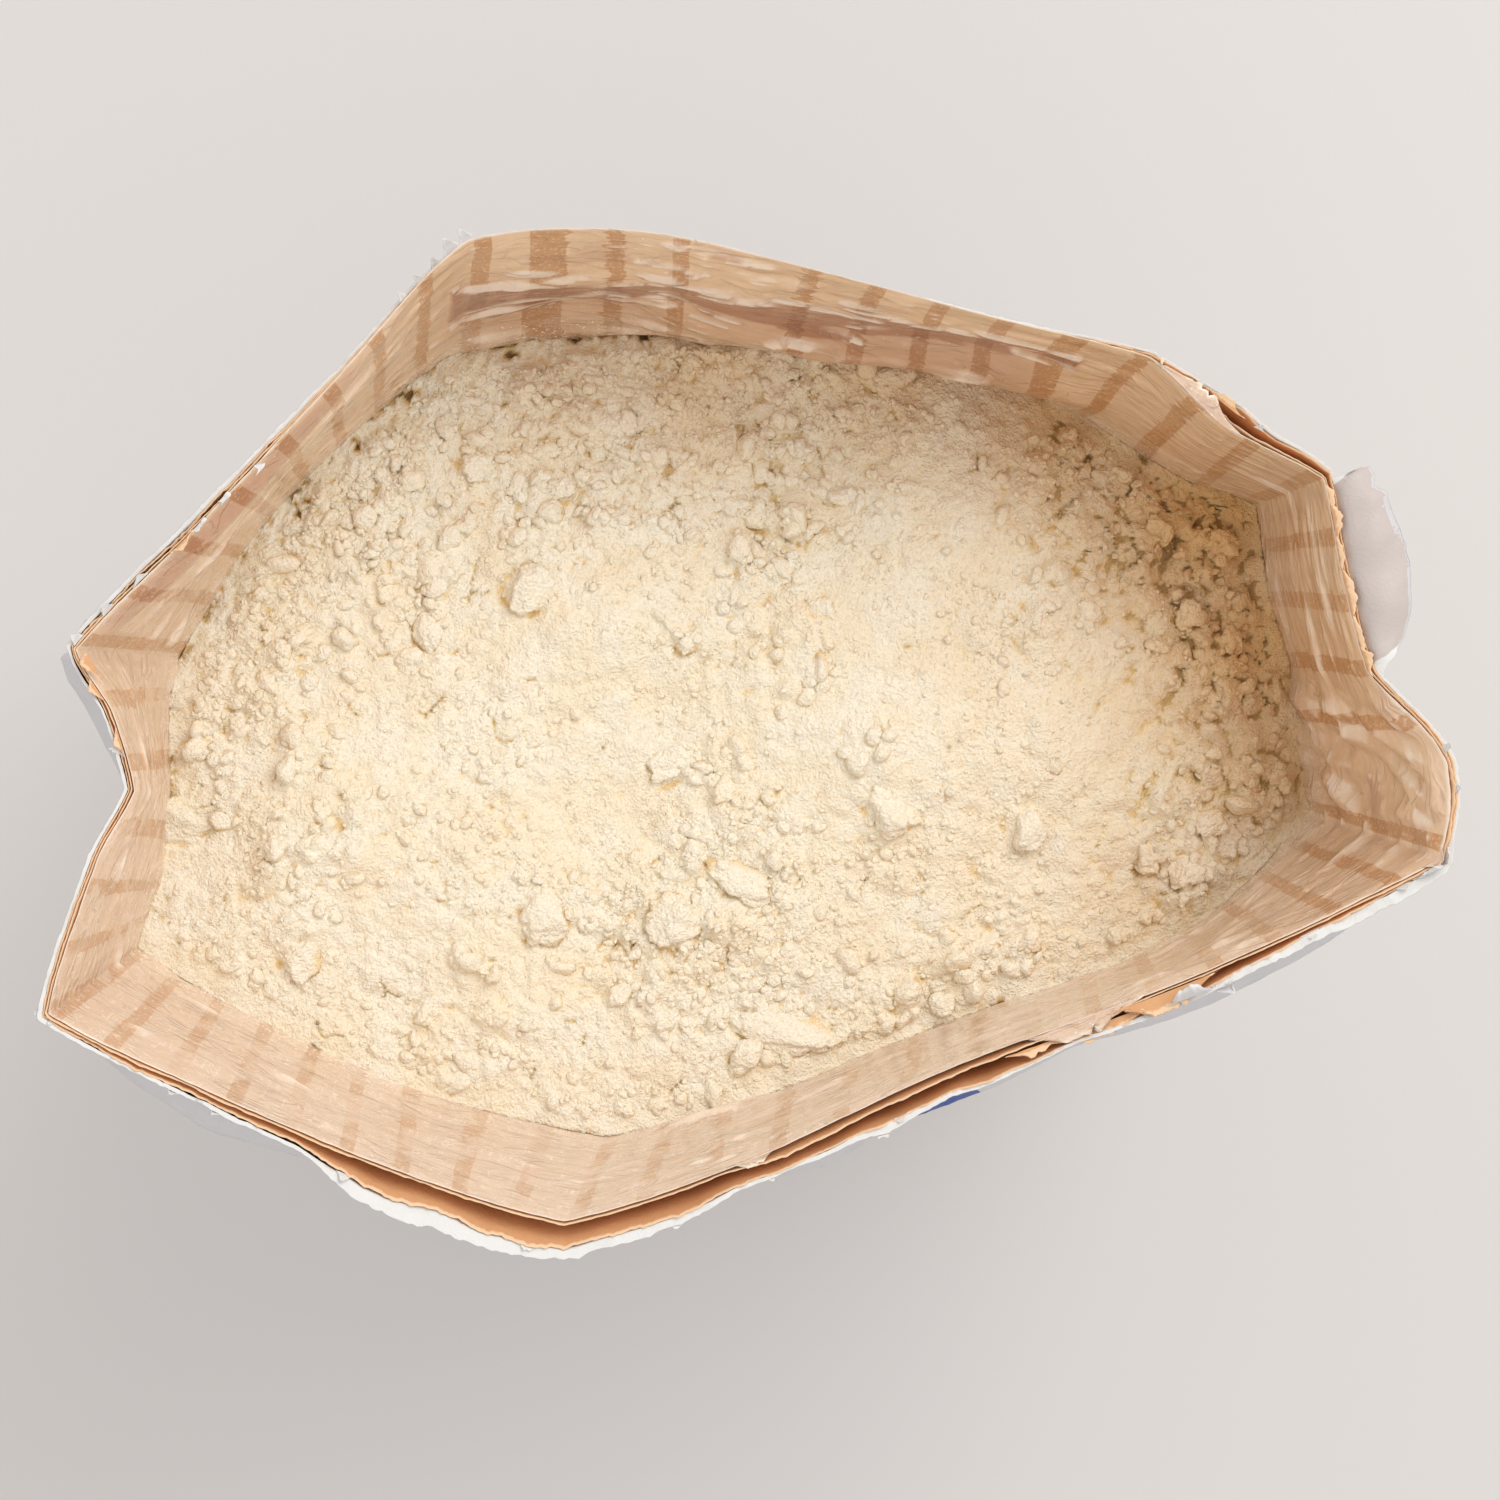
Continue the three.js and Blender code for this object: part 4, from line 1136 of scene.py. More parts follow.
def turned_edge(rim, evened, u, share, thickness):
    """A ring past the white ply's rim, share of its width out. Where the edge is torn it leans out and up.
    The tongue rises, bends over and hangs: out by a sine that levels off, up by a sine and down by the
    share squared, with folds."""
    width = round_mouth(u, WHITE_BAND)
    torn = width * (1 + ragged(u, 131, 0.5)) * share
    tongue = tongue_share(u)
    wave = 3.6 * (folded(u / 21, share * 0.8, 151, 3) - 0.5) * smooth(0, 0.35, share)
    tongue_out = width * (1 + 0.07 * ragged(u, 141, 1.0)) * np.sin(share * 1.45) / np.sin(1.45)
    out = blend(torn, tongue_out, tongue)
    tongue_up = TONGUE_RISE * np.sin(np.pi * share**0.7) - TONGUE_DROP * share**2 + wave
    up = blend(0.45 * torn, tongue_up, tongue)
    lower = -1.2 * thickness * tongue
    return rim + evened * out[:, None] + np.stack([0 * u, 0 * u, up + lower], -1)


white_rows = np.concatenate([
    [0, 0.004, 0.012], np.linspace(0.03, 0.9, 42), np.linspace(0.92, 1.75, 20), np.linspace(1.78, 2, 12),
])
white_ply, white_u, white_rings, white_outer_rows = ply(
    "outer_white_sheet", 820, white_rows, np.concatenate([BODY_ROWS, np.linspace(0.93, 1.93, 14), [2.0]]), 3,
    stand=lambda u, s: sum(stand_offs(u, s)), lean=lambda u: round_mouth(u, WHITE_LEAN),
    tear=lambda u: ragged(u, 101, 1.2) * (1 - tongue_share(u)) - 1.2 * round_mouth(u, TORN_LOWER),
    relief=paper_relief, thickness=0.22, beyond=turned_edge,
    torn=lambda u: round_mouth(u, WHITE_BAND) * (1 - tongue_share(u)),
)
ring_inside = np.arange(len(white_rings)) >= white_outer_rows
note(white_ply, "inside", np.append(np.repeat(ring_inside, len(white_u)), [0, 1]))
hand_in(white_ply, "white_ply_outer", WHITE)

# %% [markdown]
# ## Torn bits
#
# Where it was torn, the sack has lost its clean edges: small curls and tatters of each sheet stand and hang
# along the rim. A cloth simulation could tear and curl them, but each of these few has its place in the
# photograph. So each is a small strip that follows the rim, leaves it in a set direction, and curls on its
# way.


# %% The form of a strip
SCRAP_ACROSS = 19
SCRAP_ALONG = 13


def scrap_forms(scraps):
    """At a share t of its length a strip climbs at the angle start + curl t above level, and its width
    shrinks by t squared. Its sides and tip are ragged. Each row: mm round, mm out of the rim, mm above it,
    width, length, start, curl and swing in plan, in degrees. It gives each point's place, and mm round,
    along, across and to the edge."""
    place, out, rise, width, length, start, curl, swing = np.array(scraps, float).T[:, :, None, None]
    i, t = np.meshgrid(np.linspace(-0.5, 0.5, SCRAP_ACROSS), np.linspace(0, 1, SCRAP_ALONG), indexing="ij")
    i, t = i[None], t[None]
    number = np.arange(len(scraps))[:, None, None]
    frayed = 1 + 0.6 * layered(i * width / 4 + 9 * number, i * 0, 161, 4)
    reach = length * t * frayed * (1 - (2 * i) ** 4 * 0.7)
    torn_side = 1 + 0.35 * layered(t * length / 2 + 7 * number, np.sign(i), 171, 2)
    side = width * i * (1 - 0.5 * t**2) * torn_side
    climb = np.radians(start + curl * t)
    level = np.cumsum(np.cos(climb), -1) / SCRAP_ALONG * reach
    height = np.cumsum(np.sin(climb), -1) / SCRAP_ALONG * reach
    height = height + 0.5 * np.minimum(width, 6) / 6 * layered(side / 5 + 5 * number, reach / 4, 181, 2) * t
    u = place + side
    tangent = along(RIM, u + 7) - along(RIM, u - 7)
    turn = np.arctan2(-tangent[..., 0], tangent[..., 1]) + np.radians(swing) * smooth(0, 0.5, t)
    way = np.stack([np.cos(turn), np.sin(turn), 0 * turn], -1)
    top = along(RIM, u) + way * (out + level)[..., None]
    top[..., 2] += rise + height
    to_edge = np.minimum((0.5 - np.abs(i)) * width, (1 - t) * length) + 0 * u
    return top, u, reach, side, to_edge


# %% Strips as one mesh
def scrap_faces(count):
    """The faces of thin closed strips: for each an upper face, the same below it, and a rim round both."""
    corner = np.arange(SCRAP_ACROSS * SCRAP_ALONG).reshape(SCRAP_ACROSS, SCRAP_ALONG)
    face = np.stack([corner[:-1, :-1], corner[1:, :-1], corner[1:, 1:], corner[:-1, 1:]], -1).reshape(-1, 4)
    loop = np.concatenate([corner[:-1, 0], corner[-1, :-1], corner[:0:-1, -1], corner[0, :0:-1]])
    under = corner.size
    rim_faces = np.stack([loop, loop + under, np.roll(loop, -1) + under, np.roll(loop, -1)], -1)
    faces = np.concatenate([face, face[:, ::-1] + under, rim_faces])
    return (faces[None] + (np.arange(count) * 2 * under)[:, None, None]).reshape(-1, 4)


def make_scraps(name, scraps, thickness, node_name, material):
    """The strips joined in one mesh, each a thin closed body, with the numbers that the materials read."""
    top, u, reach, side, to_edge = scrap_forms(scraps)
    square = unit(np.cross(np.gradient(top, axis=1), np.gradient(top, axis=2)))
    faces = scrap_faces(len(scraps))
    piece = lay_mesh(name, np.stack([top, top - square * thickness], 1).reshape(-1, 3), faces)
    at = np.stack([u, COLLAR_HEIGHT + reach], -1)
    at = np.stack([at, at], 1).reshape(-1, 2)
    layer = piece.data.uv_layers.new(name="sheet")
    layer.data.foreach_set("uv", (at[faces.ravel()] * MM).astype(np.float32).ravel())
    # The film bits get a fixed painted shade, and noise as their painted facet light.
    for key, values in (
        ("below_tear", to_edge), ("from_stripe", FAR_OFF + 0 * u), ("clear", 0.6 + 0 * u),
        ("lifted_and_shaded", 0.5 + 0 * u), ("edge", smooth(0.7, 0.1, to_edge)),
        ("tilt", layered(side / 3, reach / 2, 191, 2)), ("dusty", 0.3 + 0 * u),
    ):
        note(piece, key, np.stack([values, values], 1))
    return hand_in(piece, node_name, material)


# %% The white bits
make_scraps("white_curls", [
    (103, 1.5, -1, 6, 3.5, -10, 40, 20), (108, 1.2, -1, 3, 2.5, 20, 60, -20),
    (144, 3.4, -1.2, 5, 3.8, 20, 100, 0), (151, 3.4, -1, 4, 3.2, 30, 120, 10),
    (158, 3.4, -1, 6, 3.4, 10, 90, -15), (196, 6, 0, 5, 3, 20, 60, -10), (212, 9, -0.5, 7, 3.5, 0, 40, 15),
    (231, 8.5, -0.5, 5, 3, 5, 60, -15), (247, 8, -0.5, 6, 2.6, 10, 60, 0),
    (282, 7.5, -0.5, 7, 3, 0, 40, 10), (311, 6, -0.5, 4, 2.5, 20, 60, 0),
    (343, 6.5, -0.5, 10, 3.6, 5, 50, 0), (352, 6.5, -0.5, 5, 3, 10, 80, -20),
    (434, 4.5, 1, 15, 10, 60, 110, 0), (441, 6, -1, 7, 4.5, 20, 70, 20), (447, 5, -1, 5, 3.6, 35, 80, -20),
    (470, 2, -0.5, 6, 2.6, 20, 70, 0), (497, 1.5, 0, 5, 3, 30, 70, 10), (505, 1.5, 0, 9, 6.5, 40, 120, 0),
    (511, 1.2, 0, 6, 5, 30, 90, -30), (528, 1, 0, 3, 3, 40, 40, 0), (538, 1, 0, 2.5, 3.4, 30, 50, 20),
    (641, 3.6, 0.4, 3, 2.6, 30, 60, 0), (863, 0.6, -1.2, 5, 4, 25, 40, 10),
    (868, 0.6, -1, 6, 5.5, 35, 40, 0), (874, 0.6, -1, 3, 6.5, 50, 50, -20),
    (879, 0.6, -1, 2.6, 5, 30, 70, 25), (886, 0.6, -1, 3, 3, 30, 40, 0),
    (946, -2.2, 1.2, 3, 2.2, 10, 30, 40), (958, -0.8, 0.6, 4, 1.8, 10, 50, 170),
    (968, -0.6, 0.4, 6, 2.4, 15, 60, 170), (989, 0.3, 0.4, 6, 2.4, 15, 80, 10),
    (1001, 0.6, 0, 5, 3, 20, 70, 0), (1012, 1, 0, 4, 3, 10, 60, 0), (29, 1, -0.5, 5, 3, 0, 40, 0),
], 0.16, "white_ply_outer", TORN_WHITE)

# %% The kraft bits
make_scraps("kraft_tatters", [
    (428, 1.2, 0.4, 30, 5.5, 12, 30, 0), (408, 3.0, -0.8, 34, 3.6, -5, 20, 0),
    (390, 2.8, -0.5, 16, 2.4, 10, 30, 0), (5, -2.5, 0.6, 9, 4, 20, 60, 0),
    (12, 0.5, 0.4, 7, 2.5, 25, 50, 0), (27, 0.6, 0.4, 8, 2.2, 20, 40, 0),
    (569, 0.2, 0.6, 9, 2.4, 50, -30, 0), (576, 0.2, 0.4, 15, 1.6, 60, -40, 0),
    (588, 0.2, 0.5, 17, 2.4, 60, -60, 0), (599, 0.2, 0.4, 13, 1.5, 60, -40, 0),
    (608, 0.2, 0.6, 12, 2.6, 50, -40, 0), (614, 0.2, 0.4, 8, 1.7, 50, -30, 0),
    (653, 4.2, 0.4, 14, 2.4, 10, 40, 0), (974, -0.4, 0.7, 9, 2.6, 10, 40, 160),
], 0.2, "kraft_ply_middle", KRAFT)

# %% The film bits
make_scraps("film_tatters", [
    (404, -0.4, -0.4, 40, 5, 22, -15, 0), (659, -0.4, -0.5, 34, 4.2, 25, -25, 0),
    (673, 2, 0.6, 1.2, 13, 60, 320, 30), (309, -0.4, -0.5, 15, 2.6, 15, 20, 0),
    (508, -0.4, 0, 9, 3, 30, 60, 0),
], 0.08, "film_liner", FILM)

# %% [markdown]
# ## The mix
#
# A pile of fine, slightly greasy powder isn't smooth: it holds together in crumbs of every size, from clods
# as large as a walnut to grains under a millimetre, with cracks where it has settled. A displaced plane
# would do for the surface, but it has to end exactly at the liner. So a square grid is bent into a disc and
# the disc is stretched to the mix line. Its height is the tilted bed, the mound and the swells of the CAD
# model, and then puffs and domes from 17 mm across down to about 2 mm, with cracks between them. All come
# from noise, so no two are alike.

# %% The bed's main forms, as in the CAD model
MOUND = (82, 12, 15, 48)
SWELLS = [
    (-48, 38, 6, 30), (-20, -66, 4, 26), (-120, -14, 5, 24), (26, 67, -6, 20), (-74, 67, -5, 22),
    (130, 28, -7, 20), (-34, -16, -4, 24),
]
DIMPLE_COUNT = 46
MIX_MIDDLE = (-8, 2)


def sine_draw(n):
    """The CAD model's own draw for a whole number: the fraction of a large multiple of a sine."""
    value = np.sin(n * 127.1 + 311.7) * 43758.5453
    return value - np.floor(value)


def bed_height(x, y):
    """The mix line's tilt, plus a bell h exp(-r^2 / 2w^2) for the mound and for each swell and dimple."""
    n = np.arange(DIMPLE_COUNT)
    dimples = np.stack([
        340 * (sine_draw(1000 + n) - 0.5), 210 * (sine_draw(2000 + n) - 0.5),
        5 * (sine_draw(3000 + n) - 0.5), 9 + 7 * sine_draw(4000 + n),
    ], -1)
    height = FILL_HEIGHT + FILL_TILT * x
    for px, py, h, w in [MOUND, *SWELLS, *dimples]:
        height = height + h * np.exp(-((x - px) ** 2 + (y - py) ** 2) / (2 * w * w))
    return height


# %% Clods that stand out
# x, y, radius, flatness, length over width, and turn in degrees. The large ones lie near the CAD model's
# clods, and each was set against the photograph again.
CLODS = [
    (-51, 45, 7.5, 0.55, 1.1, 20), (-17, -10, 6, 0.6, 1.3, 50), (46, -32, 8.5, 0.5, 1.2, 150),
    (84, -40, 7, 0.5, 1.1, 0), (-58, -49, 8, 0.5, 1.2, 70), (-21, -55, 8, 0.5, 1.0, 0),
    (-2, -45, 7, 0.35, 2.2, -25), (7, -90, 10, 0.32, 2.2, -15), (-157, -9, 8, 0.4, 1.3, 0),
    (-62, 83, 5, 0.5, 1.2, 40), (60, 94, 6, 0.4, 1.6, 10), (-81, 36, 5, 0.5, 1.2, 90),
    (-7, 25, 4, 0.5, 1.3, 30), (-5, -96, 5, 0.5, 1.5, 60), (-129, -53, 6, 0.5, 1.2, 20),
    (132, 40, 4.5, 0.7, 1, 0), (150, 33, 5, 0.7, 1.1, 20), (137, 15, 4.5, 0.7, 1.1, 70),
    (149, 6, 4.5, 0.7, 1, 0), (157, -34, 4, 0.7, 1, 0), (137, -45, 5, 0.7, 1.2, 30),
    (141, -52, 5, 0.7, 1, 0), (128, -59, 5.5, 0.6, 1.1, 60), (117, -54, 4.5, 0.7, 1, 0),
    (-38, 72, 4, 0.5, 1.4, 0), (24, 88, 4.5, 0.5, 1.2, 120), (-95, -72, 4, 0.5, 1.3, 30),
    (32, 30, 3.5, 0.5, 1.2, 0),
]

# %% How clumpy the mix is, and its crumbs
# (x, y, reach, height) of places that are clumpier or smoother than the rest, in mm
CLUMPY = [
    (135, 55, 32, 1.2), (152, 5, 26, 1.3), (148, -45, 28, 1.2), (15, 92, 40, 0.8), (-45, 100, 34, 0.8),
    (-105, 70, 36, 0.9), (-60, -48, 30, 0.5), (0, -55, 26, 0.6), (-130, 10, 34, 0.5), (60, -85, 30, 0.4),
]
LEVELLED = [
    (70, 22, 42, 1.0), (-60, -5, 34, 0.7), (-20, 50, 26, 0.6), (66, -60, 26, 0.4), (-110, -60, 28, 0.5),
]


def bell(x, y, spots):
    """The highest of bells round the spots, each as high as it says."""
    return np.max([h * np.exp(-((x - px) ** 2 + (y - py) ** 2) / (2 * w * w)) for px, py, w, h in spots], 0)


def clumpiness(x, y):
    """0 where the powder lies smooth, 1 where it has broken into clumps."""
    patchy = layered(x / 38, y / 38, 301, 3)
    return np.clip(0.22 + 0.7 * patchy + 0.75 * bell(x, y, CLUMPY) - 0.4 * bell(x, y, LEVELLED), 0, 1)


# (x, y, reach, height) of where the walls shade the mix and their brown colours it; the powder's colour
# there is painted brown shade
SHADED = [
    (150, 45, 30, 1.0), (158, 5, 27, 0.9), (160, -28, 20, 0.7), (110, 75, 24, 0.75), (60, 98, 20, 0.55),
    (10, 104, 20, 0.45), (-30, 112, 16, 0.35), (85, 16, 24, 0.15), (115, -62, 14, 0.3),
]


def wall_shade(x, y):
    """How far the walls shade the powder, 0 to 1, and so how far its colour leans to brown as painted shade.
    """
    return np.clip(bell(x, y, SHADED), 0, 1)


def puffs(x, y, size, seed):
    """Soft puffs with sharp furrows between, 0..1: how far smooth noise is from its middle."""
    return np.minimum(np.abs(ripples(x / size, y / size, seed)) * 2.2, 1)


def domes(x, y, size, seed, share):
    """Round tops side by side: sqrt(1 - r^2) in each cell that was drawn, with a sharp valley between."""
    near, _, own = cells(x / size, y / size, seed)
    top = np.sqrt(np.clip(1 - (near / 0.78) ** 2, 0, 1))
    return top * smooth(1 - share, 1.15 - share, own) * (0.4 + 0.6 * own)


def round_clods(x, y):
    """1 in the furrow round a clod, which is broken here and there and deepest on the clod's lower left."""
    furrow = np.zeros(np.shape(x))
    for px, py, size, _, long, turn in CLODS:
        c, s = math.cos(math.radians(turn)), math.sin(math.radians(turn))
        along_it = ((x - px) * c + (y - py) * s) / (size * math.sqrt(long))
        across = ((y - py) * c - (x - px) * s) / (size / math.sqrt(long))
        away = (np.hypot(along_it, across) - 1) * size
        side = smooth(-0.5, 1.5, -((x - px) + (y - py)) / size)
        furrow = np.maximum(furrow, np.exp(-((away / 1.3) ** 2)) * (0.25 + 0.75 * side))
    return furrow * smooth(-0.35, 0.25, layered(x / 7, y / 7, 306, 2))


def crumbs(x, y):
    """The relief finer than the bed, in mm, and the furrows and cracks, 0 to 1: swells, puffs and domes
    that grow with the clumpiness, wide cracks here and there, and a net of fine ones where the walls shade
    the mix."""
    wx = x + 2.5 * layered(x / 11, y / 11, 311, 2)
    wy = y + 2.5 * layered(x / 11, y / 11, 321, 2)
    clump = clumpiness(x, y)
    relief = 2.6 * layered(x / 42, y / 42, 331, 3) * (0.35 + 0.65 * clump)
    relief = relief + puffs(wx, wy, 17, 341) * (1.0 + 2.2 * clump)
    relief = relief + puffs(wx, wy, 8, 345) * (0.7 + 1.3 * clump)
    relief = relief + puffs(wx, wy, 4.3, 349) * (0.6 + 0.6 * clump)
    relief = relief + puffs(x, y, 2.3, 353) * 0.45 + domes(x, y, 2.6, 371, 0.5) * 0.3
    broken = smooth(0.3, 0.75, clump)
    shade = wall_shade(x, y)
    lumpy = 1.8 * domes(wx, wy, 7.5, 351, 0.55) + 1.1 * domes(wx, wy, 4, 361, 0.6)
    relief = relief + lumpy * broken * (1 + shade)
    near, second, _ = cells(wx / 16, wy / 16, 381)
    here = smooth(0.24, 0.36, layered(x / 10, y / 10, 391, 2) + 0.16 * clump - 0.1)
    crack = np.exp(-(((second - near) / 0.035) ** 2)) * here
    near, second, _ = cells(wx / 7.5, wy / 7.5, 351)
    here = smooth(-0.1, 0.2, layered(x / 8, y / 8, 395, 2)) * smooth(0.35, 0.8, shade) * broken
    crack = np.maximum(crack, np.exp(-(((second - near) / 0.06) ** 2)) * here)
    crack = np.maximum(crack, round_clods(x, y))
    return relief - 1.5 * crack, crack


# %% The mix line as a radius
EDGE_INSET = 0.35
LINE_POINTS = 4000
# (x, y, reach, depth) of the small dark gaps where the powder has come away from the liner, in mm
GAPS = [
    (-78, 105, 1.7, 4), (-112, 76, 2.0, 4), (-29, 116, 1.5, 4), (8, 113, 1.5, 4), (-48, 113, 1.3, 4),
    (48, -101, 1.8, 4), (70, -93, 2.2, 4), (-9, 113, 1.3, 4), (-95, 92, 1.3, 4),
]


def mix_line():
    """The mix line as seen from the mix's middle, in order of direction: direction, distance and mm round."""
    u = np.linspace(0, ROUND, LINE_POINTS, endpoint=False)
    line = along(FILL, u)[:, :2] - MIX_MIDDLE
    direction = np.arctan2(line[:, 1], line[:, 0])
    order = np.argsort(direction)
    return direction[order], np.hypot(*line.T)[order], u[order]


def edge_radius(angle):
    """The way from the mix's middle to the liner in a direction."""
    direction, distance, _ = mix_line()
    return np.interp(angle, direction, distance, period=2 * np.pi) - EDGE_INSET


def mix_surface(x, y):
    """Height of the mix's top in mm at any point, its cracks, and how deep it has sunk at the liner, 0 to
    1."""
    dx, dy = x - MIX_MIDDLE[0], y - MIX_MIDDLE[1]
    share = np.hypot(dx, dy) / edge_radius(np.arctan2(dy, dx))
    relief, crack = crumbs(x, y)
    rise = smooth(1, 0.84, share)
    bed = blend(FILL_HEIGHT + FILL_TILT * x, bed_height(x, y), rise)
    back_left = smooth(30, 90, y - 0.4 * x)
    ragged_edge = smooth(0.05, 0.3, layered(x / 9, y / 9, 401, 3) + 0.22 * back_left - 0.1)
    ragged_edge = ragged_edge * smooth(0.98, 0.995, share)
    crumbled = smooth(-0.15, 0.2, layered(x / 2.6, y / 2.6, 411, 2) + 0.1)
    gap = bell(x, y, GAPS) * crumbled * smooth(0.9, 0.98, share)
    gap = gap + ragged_edge * crumbled * (0.7 + 1.1 * back_left)
    height = bed + relief * (0.45 + 0.55 * smooth(1.0, 0.93, share)) - gap
    return height, crack, np.clip(gap / 4, 0, 1)


# %% The core of the mix
GRID = (352, 256)
DISC_SPREAD = (165.0, 112.0)  # about the mix's half width and half depth, which evens out the grid's squares
SIDE_INSET = 1.2
SIDE_SHARES = np.array([0.96, 0.88, 0.75, 0.55, 0.3, 0.12, 0.03, 0])


def soften(heights, reach):
    """Heights averaged over a square of 2 reach + 1 points, the edge rows repeated outwards."""
    for axis in (0, 1):
        ends = [(reach + 1, reach) if k == axis else (0, 0) for k in (0, 1)]
        total = np.cumsum(np.pad(heights, ends, mode="edge"), axis)
        size = heights.shape[axis]
        upper = np.take(total, np.arange(2 * reach + 1, 2 * reach + 1 + size), axis)
        lower = np.take(total, np.arange(size), axis)
        heights = (upper - lower) / (2 * reach + 1)
    return heights


def disc_of_points():
    """x and y of the top's grid. A grid point (p, q) in -1..1 goes to the disc as p sqrt(1 - q^2/2),
    q sqrt(1 - p^2/2), and the disc's radius is stretched to the mix line."""
    p, q = np.meshgrid(np.linspace(-1, 1, GRID[0]), np.linspace(-1, 1, GRID[1]), indexing="ij")
    across, deep = p * np.sqrt(1 - q * q / 2), q * np.sqrt(1 - p * p / 2)
    angle = np.arctan2(deep * DISC_SPREAD[1], across * DISC_SPREAD[0])
    reach = np.hypot(across, deep) * edge_radius(angle)
    return MIX_MIDDLE[0] + reach * np.cos(angle), MIX_MIDDLE[1] + reach * np.sin(angle)


def hollows(x, y, z, crack, gap):
    """How much painted shade each point gets from lying in a hollow, 0 to 1.7: from how far it is below the
    evened height about it, over a wide and a narrow reach, more where the walls shade the mix, and from the
    cracks and the gaps at the liner."""
    hollow = np.clip((soften(z, 5) - z - 0.6) / 1.8, 0, 1) + 0.45 * crack
    hollow = hollow + np.clip((soften(z, 2) - z - 0.1) / 0.6, 0, 1) * 0.4
    hollow = np.minimum(hollow * (1 + 0.8 * wall_shade(x, y)), 1.25) + 1.4 * gap
    return np.clip(hollow, 0, 1.7)


def core_sides(edge_points):
    """Rings from under the top's edge down inside the liner, to just above its floor."""
    edge_turn = np.arctan2(edge_points[:, 1] - MIX_MIDDLE[1], edge_points[:, 0] - MIX_MIDDLE[0])
    direction, _, round_at = mix_line()
    edge_u = round_at[np.clip(np.searchsorted(direction, edge_turn), 0, LINE_POINTS - 1)]
    side = wall(edge_u, SIDE_SHARES[:, None], FILM_FLOOR + 1)
    inwards = unit(np.concatenate([side[..., :2], 0 * side[..., :1]], -1))
    return side - inwards * (EDGE_INSET + SIDE_INSET)


def make_mix_core():
    """The top with its relief, the sides that follow the liner down, and a closed bottom."""
    x, y = disc_of_points()
    z, crack, gap = mix_surface(x, y)
    top = np.stack([x, y, z], -1).reshape(-1, 3)
    number = np.arange(top.shape[0]).reshape(GRID)
    quads = np.stack([number[:-1, :-1], number[1:, :-1], number[1:, 1:], number[:-1, 1:]], -1).reshape(-1, 4)
    edge = np.concatenate([number[:-1, 0], number[-1, :-1], number[:0:-1, -1], number[0, :0:-1]])
    side = core_sides(top[edge])
    rings = np.concatenate([edge, len(top) + np.arange(side.shape[0] * len(edge))]).reshape(-1, len(edge))
    upper, lower = rings[:-1], rings[1:]
    sides = np.stack([upper, lower, np.roll(lower, -1, 1), np.roll(upper, -1, 1)], -1).reshape(-1, 4)
    bottom = len(top) + side.shape[0] * len(edge)
    last = rings[-1]
    under = np.stack([np.full(len(edge), bottom), np.roll(last, -1), last], -1)
    points = np.concatenate([top, side.reshape(-1, 3), [side[-1].mean(0)]])
    piece = lay_mesh("mix_bed", points, quads, sides, under)
    below = np.zeros(side.shape[0] * len(edge) + 1)
    note(piece, "hollow", np.append(hollows(x, y, z, crack, gap).ravel(), below))
    note(piece, "painted_wall_shade", np.append(wall_shade(x, y).ravel(), below))
    return piece


hand_in(make_mix_core(), "donut_mix", MIX)


# %% [markdown]
# ## Loose clods and grains
#
# On the bed lie clods and grains. One could scatter copies of a few stones, but then the eye finds the
# repeats. Here every lump is its own: a ball with a few flat sides, whose points are pushed in and out,
# pressed flat, turned and half sunk.

# %% Lumps of every size
def ball(subdivisions):
    """Points and faces of a ball one across each way, cut into triangles of one size."""
    form = bmesh.new()
    bmesh.ops.create_icosphere(form, subdivisions=subdivisions, radius=1)
    form.verts.index_update()
    points = np.array([v.co for v in form.verts])
    faces = np.array([[v.index for v in f.verts] for f in form.faces])
    form.free()
    return points, faces


def turned(spin, lean):
    """A turn about Z by spin, after a tilt about X by lean, for each lump, as 3 by 3 arrays."""
    c, s, cl, sl = np.cos(spin), np.sin(spin), np.cos(lean), np.sin(lean)
    zero, one = 0 * c, 0 * c + 1
    about_z = np.stack([c, -s, zero, s, c, zero, zero, zero, one], -1).reshape(-1, 3, 3)
    about_x = np.stack([one, zero, zero, zero, cl, -sl, zero, sl, cl], -1).reshape(-1, 3, 3)
    return about_z @ about_x


def bumps(points, seed):
    """Noise on the surface of a ball, from ripples over its three plans."""
    x, y, z = points[..., 0], points[..., 1], points[..., 2]
    plans = layered(x, y, seed, 3), layered(y + 7, z, seed + 10, 3), layered(z + 3, x - 5, seed + 20, 3)
    return sum(plans) / 1.5


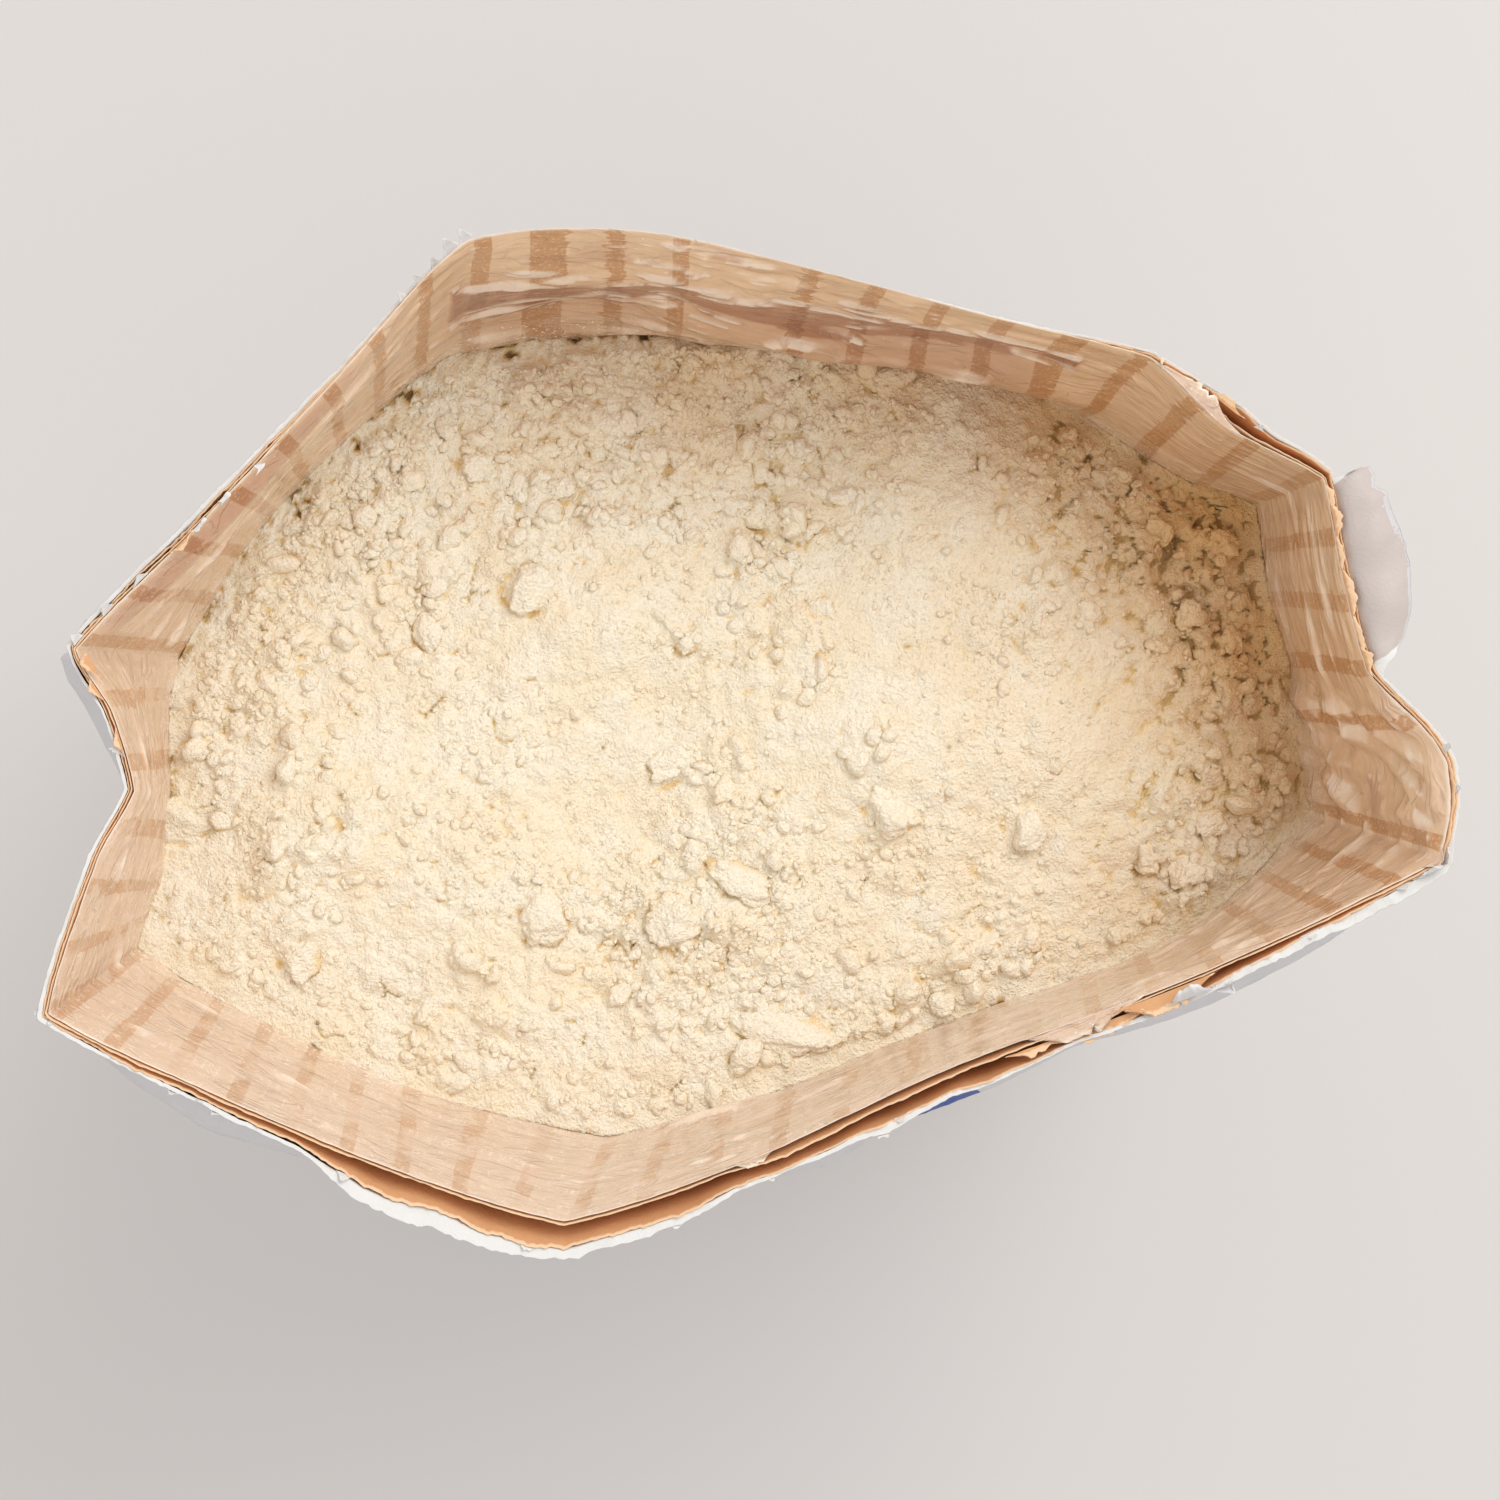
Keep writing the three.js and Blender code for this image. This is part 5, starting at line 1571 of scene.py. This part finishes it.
def make_lumps(name, subdivisions, lumps, seed, rough, sides, pale):
    """Lumps joined in one mesh. Each is a ball with drawn flat sides: in a direction d its radius is (1 +
    sum of (d.n / h)^12)^(-1/12) over the sides' directions n and distances h. It is then roughened,
    stretched, pressed flat, tilted, turned and half sunk. lumps holds x, y, size, flatness, length, turn
    and sunk share."""
    x, y, size, flat, long, spin, sunk = lumps
    base, faces = ball(subdivisions)
    n = np.arange(len(x))
    k = np.arange(sides)[None]
    normal = unit(np.stack([draw(seed + j, n[:, None], k) - 0.5 for j in (11, 12, 13)], -1))
    distance = 0.5 + 0.4 * draw(seed + 14, n[:, None], k)
    facing = np.maximum(np.einsum("vi,nki->nvk", base, normal), 0) / distance[:, None]
    wide = (1 + (facing**12).sum(-1)) ** (-1 / 12)
    shift = 50 * np.stack([draw(seed + 3, n), draw(seed + 4, n), draw(seed + 5, n)], -1)[:, None]
    wide = wide * (1 + rough * bumps(base[None] * 1.5 + shift, seed + 30))
    wide = wide * (1 + 0.4 * rough * np.abs(bumps(base[None] * 4.5 + shift, seed + 70)))
    form = base[None] * (wide * size[:, None])[..., None]
    form = form * np.stack([np.sqrt(long), 1 / np.sqrt(long), flat], -1)[:, None]
    form = np.einsum("nij,nvj->nvi", turned(spin, 0.3 * (draw(seed + 1, n) - 0.5)), form)
    ground = mix_surface(x, y)[0]
    middle = np.stack([x, y, ground + size * flat * (1 - 2 * sunk)], -1)
    points = form + middle[:, None]
    all_faces = faces[None] + (n * len(base))[:, None, None]
    piece = lay_mesh(name, points.reshape(-1, 3), all_faces.reshape(-1, 3))
    above = form[..., 2] / (size * flat)[:, None]
    # Painted shade on each lump's lower part, where it meets the bed; its upper part is paler.
    note(piece, "hollow", 0.9 * smooth(0.35, -0.35, above))
    note(piece, "pale", pale * smooth(0.0, 0.6, above))
    note(piece, "painted_wall_shade", wall_shade(points[..., 0], points[..., 1]))
    return piece


# %% Where the loose lumps lie
def spread(count, seed, bias):
    """Points drawn all over the mix, kept more often where it is clumpy, and clear of the liner."""
    n = np.arange(count * 6)
    angle = 2 * np.pi * draw(seed, n)
    share = 0.955 * np.sqrt(draw(seed + 1, n))
    reach = share * edge_radius(angle)
    x, y = MIX_MIDDLE[0] + reach * np.cos(angle), MIX_MIDDLE[1] + reach * np.sin(angle)
    keep = draw(seed + 2, n) < blend(1, clumpiness(x, y) ** 1.5, bias)
    return x[keep][:count], y[keep][:count]


def drawn_sizes(count, seed, smallest, largest, steep):
    """Many small and few large: smallest over (1 - draw) to the power 1 / steep, cut off at the largest."""
    size = smallest * (1 - draw(seed, np.arange(count))) ** (-1 / steep)
    return np.minimum(size, largest)


def lumps_of(name, subdivisions, count, seed, smallest, largest, steep, bias, rough, sides):
    """A kind of loose lump, spread over the mix."""
    x, y = spread(count, seed, bias)
    n = np.arange(len(x))
    size = drawn_sizes(len(x), seed + 7, smallest, largest, steep)
    flat, sunk = 0.6 + 0.3 * draw(seed + 8, n), 0.4 + 0.3 * draw(seed + 9, n)
    lumps = (x, y, size, flat, 1 + 0.7 * draw(seed + 10, n), 2 * np.pi * draw(seed, n), sunk)
    return hand_in(make_lumps(name, subdivisions, lumps, seed, rough, sides, 0.4), "donut_mix", MIX)


lumps_of("mix_grains", 1, 9500, 501, 0.35, 0.9, 3.0, 0.5, 0.1, 1)
lumps_of("mix_crumbs", 2, 2450, 601, 0.8, 2.2, 3.2, 0.85, 0.25, 4)
lumps_of("mix_nodules", 3, 600, 701, 1.7, 3.8, 3.2, 0.95, 0.3, 6)


def make_clods():
    """The named clods, each a finely cut ball."""
    x, y, size, flat, long, turn = np.array(CLODS, float).T
    lumps = (x, y, size, flat, long, np.radians(turn), 0.5 + 0 * x)
    return make_lumps("mix_clods", 5, lumps, 801, 0.34, 9, 0.8)


hand_in(make_clods(), "donut_mix", MIX)

# %% [markdown]
# ## The floor
#
# The sack stands on a plain pale surface, which isn't part of it.


# %% The floor
def make_floor():
    """A large level square."""
    half = 4000
    points = np.array([(-half, -half, 0), (half, -half, 0), (half, half, 0), (-half, half, 0)], float)
    piece = lay_mesh("floor", points, np.array([[0, 1, 2, 3]]))
    material, _, shader, _ = start_material("floor_paint")
    shader.inputs["Base Color"].default_value = paint(217, 213, 210)
    shader.inputs["Roughness"].default_value = 0.9
    piece.data.materials.append(material)
    return piece


make_floor()
